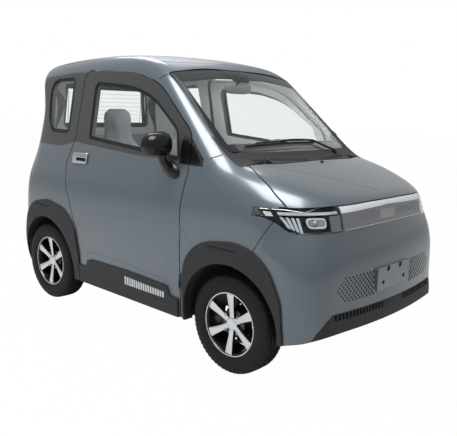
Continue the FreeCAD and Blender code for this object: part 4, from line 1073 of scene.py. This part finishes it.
# place across, height, half size and number of corners of each hole in the bracket
clip_places = [(-0.060, 0.548, 0.0125, 4), (0.060, 0.548, 0.0125, 4),
               (-0.103, 0.484, 0.0105, 20), (0.103, 0.484, 0.0105, 20)]
punched = []
for row in range(punch_rows):
    height = punch_low + row * punch_rise
    x = punch_first + (row % 2) * punch_pitch / 2
    while x < punch_end:
        share = (x - punch_first) / (punch_end - punch_first)
        middle_row = (punch_rows - 1) / 2
        limit = punch_end - abs(row - middle_row) / middle_row * punch_taper
        if x < limit:
            size = punch_large * (1 - share) + punch_small * share
            bpy.ops.mesh.primitive_circle_add(vertices=4, radius=size, fill_type="NGON")
            piece = bpy.context.object
            tall = size * punch_tall
            for vertex, (a, b) in zip(piece.data.vertices, ((0, tall), (-size, 0), (0, -tall), (size, 0))):
                vertex.co = onto("front_bumper", "front", (-x + a, height + b), punch_proud)
            piece.matrix_world = Matrix.Identity(4)
            punched.append(piece)
        x += punch_pitch
punched_field = joined("punched_diamonds", punched)
add_modifier(punched_field, "SOLIDIFY", thickness=punch_thick, offset=-1)
both_sides(tidy_mesh(punched_field), painted_recess_shade)



def raised(name, node, view, line, steps):
    """Plate laid on a node within an outline; each step is how far it is inset and how far it stands proud."""
    rings = [[onto(node, view, point, proud) for point in shrunk(line, inset)] for inset, proud in steps]
    return skinned(name, rings)


cover_line = anticlockwise(rounded([(x, up(z_share), cover_round) for x, z_share in
                                    ((-0.099, 0.2262), (0.057, 0.2262), (0.057, 0.2396), (-0.099, 0.2396))]))
cover_steps = ((0.0, -0.002), (0.0, 0.0016), (0.0016, 0.0026))
tow_cover = raised("tow_eye_cover", "front_lip", "front", cover_line, cover_steps)
finished(smooth(tow_cover, 40), cladding, "chassis")
for first_y, last_y in slot_spans:
    line = [onto("arch_flares", "side", (first_y + (last_y - first_y) * step / 8, slot_height), slot_proud)
            for step in range(9)]
    both_sides(seal("flare_slot", line, slot_radius, closed=False), painted_recess_shade)
clips = []
for x, z, size, count in clip_places:
    spot = (x, onto("front_bumper", "front", (x + 0.012, z), 0)[1], z)
    bpy.ops.mesh.primitive_cylinder_add(vertices=count, radius=size * (1.41 if count == 4 else 1), depth=clip_depth,
                                        location=spot, rotation=(math.pi / 2, 0, 0))
    piece = bpy.context.object
    if count == 4:
        piece.rotation_euler = (math.pi / 2, math.pi / 4, 0)
    bpy.ops.object.transform_apply()
    clips.append(piece)
bracket_clips = joined("bracket_holes", clips)
bevelled(bracket_clips, clip_bevel)
finished(bracket_clips, painted_recess_shade, "chassis")

# Door handles: a rounded plate, moulded in plastic and chromed, that the fingers pull out. It is screwed on
# near the door's rear shut line, and the shade in its grip is painted as a dark plate laid on the door.
# the plate's corners as shares along and up, and the slot's in metres
handle_corners = [(0.712, 0.588), (0.712, 0.631), (0.805, 0.626), (0.803, 0.584)]
slot_corners = [(0.415, 0.961), (0.505, 0.961), (0.505, 0.980), (0.415, 0.980)]
handle_round = 0.016
plate_inset = 0.002
grip_round = 0.008
plate_line = anticlockwise(rounded([(along(a), up(b), handle_round) for a, b in handle_corners]))
plate_line = shrunk(plate_line, plate_inset)
plate_steps = ((0.0, -0.006), (0.0, 0.0016), (0.0025, 0.0042), (0.006, 0.0042), (0.008, 0.0030))
handle = raised("door_handle_plate", "door_right", "side", plate_line, plate_steps)
both_sides(smooth(handle, 40), chrome, "door_right", "door_left")
slot_line = anticlockwise(rounded([(y, z, grip_round) for y, z in slot_corners]))
slot_steps = ((0.0, 0.0020), (0.0, 0.0046), (0.003, 0.0050), (0.005, 0.0034))
slot = raised("door_handle_slot", "door_right", "side", slot_line, slot_steps)
both_sides(smooth(slot, 40), painted_recess_shade, "door_right", "door_left")

# Door mirrors: a gloss black rounded shell with a bright crease, a flat glass behind it, and a short thick arm
# that leaves a drop-shaped foot bolted to the door below the window's front corner.
mirror_centre = Vector((-0.752, -0.342, 1.112))
mirror_half = Vector((0.088, 0.058, 0.066))
glass_share = 0.24
shell_reach = 1.1
low_share = 0.86
end_rise = 0.12
crease_height, crease_place, crease_width = 0.045, -0.34, 0.05
pane_half = (0.071, 0.046)
pane_rise = 0.003
pane_count = 48
pane_steps = ((0.0, -0.002), (0.0, 0.0012), (0.002, 0.0018))
foot_centre = Vector((-0.655, -0.348, 0.986))
foot_half = (0.034, 0.074, 0.042)
foot_lean = 27
# the moulded shell mirrors darkly with one bright crease, and the glass mirrors all
mirror_black = mottle(new_material("gloss_black_plastic", "#0B0C0D", 0.24, 0.0, 0.15, 0.25), 0.3, 0.05, 0.02, 0)
mirror_glass = mottle(new_material("silvered_mirror_glass", "#C8CCCE", 0.03, 1.0), 0.3, 0.01, 0.01, 0)
bpy.ops.mesh.primitive_uv_sphere_add(segments=72, ring_count=48, radius=1.0)
shell = bpy.context.object
shell.name = "mirror_shell"
for vertex in shell.data.vertices:
    way = vertex.co.normalized()
    reach = (abs(way.x) ** 2.5 + abs(way.y) ** 2.2 + abs(way.z) ** 2.5) ** (-1 / 2.4)
    spot = way * reach
    back = min(spot.y, glass_share) if spot.y > 0 else spot.y
    low = low_share if spot.z < 0 else 1.0
    crease = crease_height * math.exp(-((spot.z - crease_place) / crease_width) ** 2) if spot.y < 0 else 0.0
    vertex.co = mirror_centre + Vector((spot.x * mirror_half.x, back * mirror_half.y * (1 + crease) * shell_reach,
                                        spot.z * mirror_half.z * low * (1 + end_rise * spot.x)))
smooth(shell, 40)
pane_y = mirror_centre.y + glass_share * mirror_half.y * shell_reach
pane_rings = []
for inset, proud in pane_steps:
    ring = []
    for k in range(pane_count):
        turn = 2 * math.pi * k / pane_count
        ring.append(Vector((mirror_centre.x + math.cos(turn) * (pane_half[0] - inset), pane_y + proud,
                            mirror_centre.z + pane_rise + math.sin(turn) * (pane_half[1] - inset))))
    pane_rings.append(ring)
pane = skinned("mirror_pane", pane_rings)


def limb(name, stations, sides=24):
    """Skin through oval rings; each station is a centre, two half widths and the way the ring looks."""
    rings = []
    for centre, half_a, half_b, way in stations:
        first = Vector((0, 1, 0))
        second = Vector(way).normalized().cross(first)
        rings.append([Vector(centre) + first * math.cos(2 * math.pi * k / sides) * half_a
                      + second * math.sin(2 * math.pi * k / sides) * half_b for k in range(sides)])
    return skinned(name, rings)


arm_stations = [((-0.728, -0.350, 1.085), 0.032, 0.024, (0, 0, -1)),
                ((-0.722, -0.350, 1.050), 0.027, 0.019, (0.1, 0, -1)),
                ((-0.714, -0.350, 1.032), 0.025, 0.018, (0.4, 0, -1)),
                ((-0.700, -0.348, 1.014), 0.028, 0.020, (0.8, 0, -1)),
                ((-0.676, -0.345, 1.000), 0.032, 0.024, (1, 0, -0.4)),
                ((-0.655, -0.343, 0.994), 0.032, 0.024, (1, 0, -0.2))]
arm = limb("mirror_arm", arm_stations)
bpy.ops.mesh.primitive_uv_sphere_add(segments=48, ring_count=32, radius=1.0, rotation=(0, math.pi / 2, 0))
foot = bpy.context.object
bpy.ops.object.transform_apply()
foot.data.transform(Matrix.Translation(foot_centre) @ Matrix.Rotation(math.radians(foot_lean), 4, "X")
                    @ Matrix.Diagonal((*foot_half, 1)))
mirror_body = joined("mirror_shell", [shell, arm, foot])
smooth(mirror_body, 50)
right_mirror, left_mirror = both_sides(mirror_body, mirror_black, "door_right", "door_left")
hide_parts("mirror_right")
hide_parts("mirror_left")
both_sides(pane, mirror_glass, "door_right", "door_left")

# Door cladding strip: a row of bright bars in plated plastic, let into the dark cladding of each door. They
# are pressed in one by one and stand a little proud, so each catches the light on its edge.
badge_bars = 17
bar_share = 0.33
bar_steps = ((0.0, -0.001), (0.0, 0.0012), (0.0012, 0.0022))
badge_low = [(0.270, 0.1805), (0.481, 0.1800)]
badge_high = [(0.270, 0.2017), (0.481, 0.2110)]
bars = []
for k in range(badge_bars):
    share = (k + 0.5) / badge_bars
    y = along(badge_low[0][0] * (1 - share) + badge_low[1][0] * share)
    low = up(badge_low[0][1] * (1 - share) + badge_low[1][1] * share)
    high = up(badge_high[0][1] * (1 - share) + badge_high[1][1] * share)
    half = (along(badge_low[1][0]) - along(badge_low[0][0])) / badge_bars * bar_share
    line = [Vector(p) for p in ((y - half, low), (y + half, low), (y + half, high), (y - half, high))]
    bars.append(raised("bar", "door_cladding_right", "side", line, bar_steps))
badge = joined("cladding_badge", bars)
badge_silver = mottle(new_material("satin_chromed_bars", "#C6C9CC", 0.3, 0.9), 0.004, 0.05, 0.05, 0)
both_sides(badge, badge_silver, "door_right", "door_left")

# Joints between fixed panels: a thin dark bead of painted shade, laid along the gap where the front bumper meets
# the fender, and across the windscreen pillar at its foot and at its head. It takes the seal rubber's finish.
joint_radius = 0.0016
joint_proud = 0.0004
joint_shift = 0.003
# each joint as shares along and up
joint_lines = [[(-0.452, 0.500), (-0.420, 0.484), (-0.360, 0.452), (-0.300, 0.418), (-0.265, 0.396), (-0.245, 0.350)],
               [(0.110, 0.6564), (0.101, 0.6605), (0.093, 0.6644), (0.087, 0.6687)],
               [(0.391, 0.8988), (0.381, 0.9045), (0.374, 0.9104), (0.370, 0.9153)]]


def outermost(point, proud):
    """Place on whichever fixed panel is outermost there on the right side, that far proud of it."""
    found = []
    for shift in (-joint_shift, 0.0, joint_shift):
        for node in ("front_bumper", "fenders", "body_sides", "roof", "headlamps"):
            start = Vector((-2, point[0] + shift, point[1]))
            place, normal, face, distance = skin_of(node).ray_cast(start, Vector((1, 0, 0)))
            if place is not None and place.x < 0:
                found.append((distance, node, shift, place + normal * proud))
    if not found:
        return onto("front_bumper", "side", point, proud)
    return min(found)[3] - Vector((0, min(found)[2], 0))


for rows in joint_lines:
    line = [outermost((along(a), up(b)), joint_proud) for a, b in rows]
    both_sides(seal("panel_joint", line, joint_radius, closed=False), rubber_and_joint_shade)

# Cowl: a ribbed black moulding below the windscreen, with a raised service flap near its right end and two
# grilles of slots for the cabin's air, drawn as dark plates of painted shade. Beside it a washer nozzle stands
# on the bonnet.
flap_corners = ((-0.452, -0.722), (-0.442, -0.738), (-0.372, -0.762), (-0.362, -0.742))
flap_round = 0.008
flap_steps = ((0.0, -0.001), (0.0, 0.0020), (0.0016, 0.0032))
vent_starts = (0.06, -0.33)
vent_count, vent_pitch = 11, 0.024
vent_half = (0.005, 0.012)
vent_middle_y, vent_bow, vent_reach = -0.800, 0.11, 0.5
vent_sunk, vent_proud = 0.001, 0.0006
nozzle_proud = 0.001
nozzle_place = (-0.006, -0.836)
nozzle_half = (0.012, 0.009, 0.007)
flap_line = anticlockwise(rounded([(x, y, flap_round) for x, y in flap_corners]))
flap = raised("cowl_flap", "cowl", "above", flap_line, flap_steps)
finished(smooth(flap, 40), cladding, "chassis")
slots = []
for k in range(vent_count):
    for x_first in vent_starts:
        x = x_first + k * vent_pitch
        y = vent_middle_y + vent_bow * (abs(x) / vent_reach) ** 2
        line = [(x + a * vent_half[0], y + b * vent_half[1]) for a, b in square]
        slots.append(skinned("slot", [[onto("cowl", "above", point, proud) for point in line]
                                      for proud in (-vent_sunk, vent_proud)]))
finished(joined("cowl_slots", slots), painted_recess_shade, "chassis")
nozzle = ball("washer_nozzle", onto("bonnet", "above", nozzle_place, nozzle_proud), nozzle_half, 24, 16)
finished(smooth(nozzle, 60), rubber_and_joint_shade, "bonnet")

# Wiper: a pressed steel arm in black enamel on a pivot at the cowl. A bridge clipped to its end holds the
# rubber blade along the windscreen.
glass_foot = 0.674
blade_drop, blade_proud, blade_radius = 0.002, 0.006, 0.0062
bridge_rise, bridge_proud, bridge_radius = 0.0025, 0.011, 0.0042
arm_radius = 0.0060
pivot_place = (0.385, 0.6640)
pivot_proud = 0.006
clip_place = (-0.205, 0.7000, 0.012)
pivot_radius, pivot_tilt, pivot_bevel = 0.016, 50, 0.003
clip_half = (0.030, 0.009, 0.010)


def on_screen(share_x, share_z, proud):
    """Place on the windscreen or the cowl, seen from the front."""
    node = "windscreen" if share_z > glass_foot else "cowl"
    return onto(node, "front", (across(share_x), up(share_z)), proud)


blade_line = [(-0.612, 0.6905), (-0.500, 0.6935), (-0.350, 0.6965), (-0.200, 0.6985), (-0.050, 0.6992),
              (0.080, 0.6985), (0.185, 0.6975)]
arm_line = [(-0.205, 0.7010, 0.014), (-0.100, 0.7020, 0.016), (0.050, 0.7010, 0.016), (0.170, 0.6985, 0.015),
            (0.205, 0.6945, 0.014), (0.300, 0.6780, 0.013), (*pivot_place, 0.012)]
blade_places = [on_screen(a, b - blade_drop, blade_proud) for a, b in blade_line]
blade = seal("wiper_blade", blade_places, blade_radius, closed=False)
bridge_places = [on_screen(a, b + bridge_rise, bridge_proud) for a, b in blade_line[1:-1]]
bridge = seal("wiper_bridge", bridge_places, bridge_radius, closed=False)
wiper_arm = seal("wiper_arm", [on_screen(*row) for row in arm_line], arm_radius, closed=False)
bpy.ops.mesh.primitive_cylinder_add(vertices=32, radius=pivot_radius, depth=pivot_radius,
                                    location=on_screen(*pivot_place, pivot_proud),
                                    rotation=(math.radians(pivot_tilt), 0, 0))
pivot = bpy.context.object
bpy.ops.object.transform_apply()
bevelled(pivot, pivot_bevel)
clip = ball("wiper_clip", on_screen(*clip_place), clip_half, 24, 16)
wiper_black = mottle(new_material("wiper_black_enamel", "#0E0E0F", 0.35, 0.0, 0.2, 0.25), 0.002, 0.1, 0.05, 0)
wiper = joined("wiper_arm_and_blade", [wiper_arm, blade, bridge, pivot, clip])
finished(smooth(wiper, 40), wiper_black, "chassis", "wiper")

# Interior mirror: a moulded plastic housing with a fine grain on a ball stem. The stem is glued to the glass
# behind a black patch that is printed at the windscreen's head.
patch_middle = -0.062
patch_low, patch_tall = 0.9000, 0.030
patch_low_half, patch_top_half = 0.090, 0.145
patch_proud, patch_thick = 0.0008, 0.0006
inner_centre = Vector((-0.062, -0.256, 1.414))
inner_half = (0.112, 0.018, 0.032)
stem_radius = 0.0065
bpy.ops.mesh.primitive_grid_add(x_subdivisions=14, y_subdivisions=7, size=2)
patch = bpy.context.object
patch.name = "mirror_patch"
for vertex in patch.data.vertices:
    share = (vertex.co.y + 1) / 2
    half = patch_low_half * (1 - share) + patch_top_half * share
    spot = (across(patch_middle + vertex.co.x * half), up(patch_low + patch_tall * share))
    vertex.co = onto("windscreen", "front", spot, patch_proud)
add_modifier(patch, "SOLIDIFY", thickness=patch_thick, offset=-1)
finished(tidy_mesh(patch), frit_black, "chassis")
bpy.ops.mesh.primitive_uv_sphere_add(segments=48, ring_count=32, radius=1.0)
inner = bpy.context.object
inner.name = "interior_mirror"
for vertex in inner.data.vertices:
    way = vertex.co.normalized()
    reach = (abs(way.x) ** 4 + abs(way.y) ** 2 + abs(way.z) ** 3) ** (-1 / 3.2)
    vertex.co = inner_centre + Vector([part * half for part, half in zip(way, inner_half)]) * reach
stem_line = [(-0.062, -0.262, 1.425), (-0.062, -0.262, 1.452), (-0.062, -0.275, 1.475), (-0.062, -0.290, 1.488)]
stem = seal("mirror_stem", stem_line, stem_radius, closed=False)
inner_grey = mottle(new_material("grained_grey_plastic", "#4A4D4F", 0.5), 0.0012, 0.1, 0.06, 0.0001)
finished(smooth(joined("interior_mirror", [inner, stem]), 50), inner_grey, "chassis")

# Rear window heater: thin lines of silver paste across the pane, joined by a bus bar at each side. They are
# printed on the glass and fired with it, and look brownish from outside.
line_count, line_low, line_pitch = 9, 0.722, 0.0185
line_half, line_parts, line_radius = 0.46, 10, 0.0009
bus_place, bus_low, bus_pitch = 0.475, 0.718, 0.0175
bus_parts, bus_radius = 9, 0.0022
heater_proud = 0.0003
heater = []
for k in range(line_count):
    spots = [(across(line_half * (2 * step / line_parts - 1)), up(line_low + line_pitch * k))
             for step in range(line_parts + 1)]
    heater.append(seal("heater_line", [onto("rear_glass", "back", spot, heater_proud) for spot in spots],
                       line_radius, closed=False))
for side in (-1, 1):
    spots = [(across(bus_place * side), up(bus_low + bus_pitch * step)) for step in range(bus_parts + 1)]
    heater.append(seal("bus_bar", [onto("rear_glass", "back", spot, heater_proud) for spot in spots],
                       bus_radius, closed=False))
heater_silver = mottle(new_material("printed_silver_line", "#8C8780", 0.45, 0.3), 0.004, 0.08, 0.05, 0)
finished(joined("rear_heater", heater), heater_silver, "tailgate")

# Underside and dashboard: the platform, suspension and motor are welded steel in dull black paint, and the
# battery hangs between the sills. The dashboard is moulded in grey grained plastic, and the steering wheel's
# rim is wrapped in sewn leather.
black_steel = mottle(new_material("painted_steel", "#1A1B1C", 0.5), 0.004, 0.1, 0.08, 0.0001)
for node in ("platform", "battery_pack", "drive_motor", "knuckle_right", "knuckle_left", "front_suspension",
             "rear_axle"):
    dress(node, black_steel)
grey_plastic = mottle(new_material("grained_dashboard_plastic", "#A9ADB1", 0.6), 0.0015, 0.1, 0.06, 0.0001)
dress("dashboard", grey_plastic)
wheel_leather = mottle(new_material("stitched_wheel_leather", "#4E5154", 0.45), 0.0018, 0.12, 0.06, 0.0002)
dress("steering_wheel", wheel_leather)

# Seats: foam cushions in a grey woven cover, pulled in along sewn seams. The two front seats have high backs
# with narrowed head parts, and the rear bench has one cushion and one back. They rest on the platform.
weave_scale = 160.0
weave_relief = 0.0003
ring_count = 40
filling_pressure = 4.0
filling_steps = 20
seam_proud, seam_radius = 0.0004, 0.0016
seat_grain, seat_swell = 0.009, 0.024
bench_grain, bench_swell = 0.012, 0.020
back_power, cushion_power, bench_power = 3.0, 5.0, 6.0
# the cloth is dull with a fine weave, and the seams' thread is darker
cloth = mottle(new_material("woven_seat_cloth", "#707377", 0.9), 0.0016, 0.22, 0.05, 0.0003)
cloth_tree = cloth.node_tree
cloth_place = add_node(cloth_tree, "ShaderNodeTexCoord").outputs["Object"]
weave = add_node(cloth_tree, "ShaderNodeTexWave", {"Vector": cloth_place, "Scale": weave_scale, "Distortion": 1.5})
grain_normal = shader_of(cloth).inputs["Normal"].links[0].from_socket
weave_bump = add_node(cloth_tree, "ShaderNodeBump",
                      {"Height": weave.outputs[1], "Distance": weave_relief, "Normal": grain_normal})
cloth_tree.links.new(weave_bump.outputs[0], shader_of(cloth).inputs["Normal"])
thread = mottle(new_material("sewn_seam_thread", "#3A3C3F", 0.8), 0.001, 0.1, 0.05, 0)


def stuffed(name, stations, centre_x, power):
    """Closed form through level rings; each station is a height, its front and back places and a half width."""
    rings = []
    for height, front, back, half in stations:
        ring = []
        for k in range(ring_count):
            turn = 2 * math.pi * k / ring_count
            a, b = math.cos(turn), math.sin(turn)
            reach = (abs(a) ** power + abs(b) ** power) ** (-1 / power)
            y = (front + back) / 2 + b * reach * (back - front) / 2
            ring.append(Vector((centre_x + a * reach * half, y, height)))
        rings.append(ring)
    return edit(skinned(name, rings), (bpy.ops.mesh.fill_holes, {"sides": 0}), face_outwards)


def plumped(piece, grain, cap):
    """Lets a closed form swell as filled cloth does; no point moves further than the cap."""
    add_modifier(piece, "REMESH", mode="VOXEL", voxel_size=grain)
    blown = piece.modifiers.new("filling", "CLOTH")
    blown.settings.use_pressure = True
    blown.settings.uniform_pressure_force = filling_pressure
    blown.settings.effector_weights.gravity = 0.0
    for step in range(1, filling_steps + 1):
        scene.frame_set(step)
    swollen = piece.evaluated_get(bpy.context.evaluated_depsgraph_get()).data
    moved = [corner.co.copy() for corner in swollen.vertices]
    piece.modifiers.remove(blown)
    scene.frame_set(1)
    for corner, place in zip(piece.data.vertices, moved):
        step = place - corner.co
        if step.length > cap:
            step = step.normalized() * cap
        corner.co = corner.co + step
    add_modifier(piece, "SUBSURF", levels=1)
    return smooth(piece, 80)


def sewn(name, piece, way, rows):
    """Seams laid in a cover, found from outside along a way."""
    skin = surface_of(piece.data)
    beads = []
    for row in rows:
        places = []
        for start in row:
            place, normal, face, distance = skin.ray_cast(Vector(start), Vector(way))
            if place is not None:
                places.append(place + normal * seam_proud)
        beads.append(seal(name, places, seam_radius, closed=False))
    return joined(name, beads)


seat_x = -0.300
seam_x = 0.125
seam_points = 13
seam_from_y, seam_from_z = 0.2, 0.8
back_seam_low, back_seam_pitch = 0.56, 0.036
cushion_seam_start, cushion_seam_pitch = 0.06, 0.032
head_seam_z = 0.992
# height, front, back and half width of each level of a cushion
back_rows = [(0.482, 0.470, 0.580, 0.165), (0.520, 0.458, 0.598, 0.196), (0.700, 0.470, 0.606, 0.202),
             (0.900, 0.488, 0.612, 0.202), (0.990, 0.502, 0.614, 0.194), (1.050, 0.516, 0.614, 0.166),
             (1.090, 0.530, 0.612, 0.130), (1.150, 0.542, 0.612, 0.120), (1.230, 0.548, 0.610, 0.114),
             (1.275, 0.556, 0.604, 0.098), (1.298, 0.568, 0.596, 0.060)]
cushion_rows = [(0.350, 0.045, 0.490, 0.190), (0.372, 0.028, 0.505, 0.203), (0.450, 0.020, 0.512, 0.206),
                (0.495, 0.030, 0.505, 0.200), (0.515, 0.060, 0.480, 0.175)]
seat_pieces = []
for name, rows, power in (("seat_back", back_rows, back_power), ("seat_cushion", cushion_rows, cushion_power)):
    seat_pieces.append(plumped(stuffed(name, rows, seat_x, power), seat_grain, seat_swell))
back_seams = [[(seat_x + side * seam_x, seam_from_y, back_seam_low + back_seam_pitch * k)
               for k in range(seam_points)] for side in (-1, 1)]
back_seams.append([(seat_x - seam_x + seam_x / 5 * k, seam_from_y, head_seam_z) for k in range(11)])
cushion_seams = [[(seat_x + side * seam_x, cushion_seam_start + cushion_seam_pitch * k, seam_from_z)
                  for k in range(seam_points)] for side in (-1, 1)]
for part in (sewn("seat_back_seams", seat_pieces[0], (0, 1, 0), back_seams),
             sewn("seat_cushion_seams", seat_pieces[1], (0, 0, -1), cushion_seams)):
    both_sides(part, thread)
pairs = [both_sides(part, cloth) for part in seat_pieces]
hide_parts("seat_right")
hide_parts("seat_left")

bench_cushion = [(0.540, 0.745, 0.930, 0.410), (0.560, 0.722, 0.945, 0.425), (0.600, 0.718, 0.948, 0.428),
                 (0.625, 0.735, 0.935, 0.415)]
bench_back = [(0.640, 0.958, 1.060, 0.405), (0.670, 0.956, 1.070, 0.425), (0.850, 0.970, 1.062, 0.428),
              (1.050, 0.990, 1.048, 0.420), (1.105, 1.002, 1.040, 0.395)]
for name, rows in (("bench_cushion", bench_cushion), ("bench_back", bench_back)):
    part = finished(plumped(stuffed(name, rows, 0.0, bench_power), bench_grain, bench_swell), cloth, "chassis")
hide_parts("rear_bench")

# Tail lamps: red acrylic lenses with a moulded grain over reflectors, in the corners of the tail. A clear
# strip for reversing runs across each, and the lens is welded to its black housing.
lamp_foot_share = 0.490
reversing_low, reversing_high = 0.060, 0.095
lamp_red = mottle(new_material("red_acrylic_lens", "#7E0B10", 0.12, 0.0, 0.8), 0.006, 0.18, 0.05, 0.0002)
lamp_low = up(lamp_foot_share)
strip_box = [(-1.0, lamp_low + reversing_low), (1.0, lamp_low + reversing_low), (1.0, lamp_low + reversing_high),
             (-1.0, lamp_low + reversing_high)]
zone(lamp_red, inside(lamp_red, (0, 2), strip_box), "#D8D9D6", 0.2, 0.0, 0.6)
dress("tail_lamps", lamp_red)
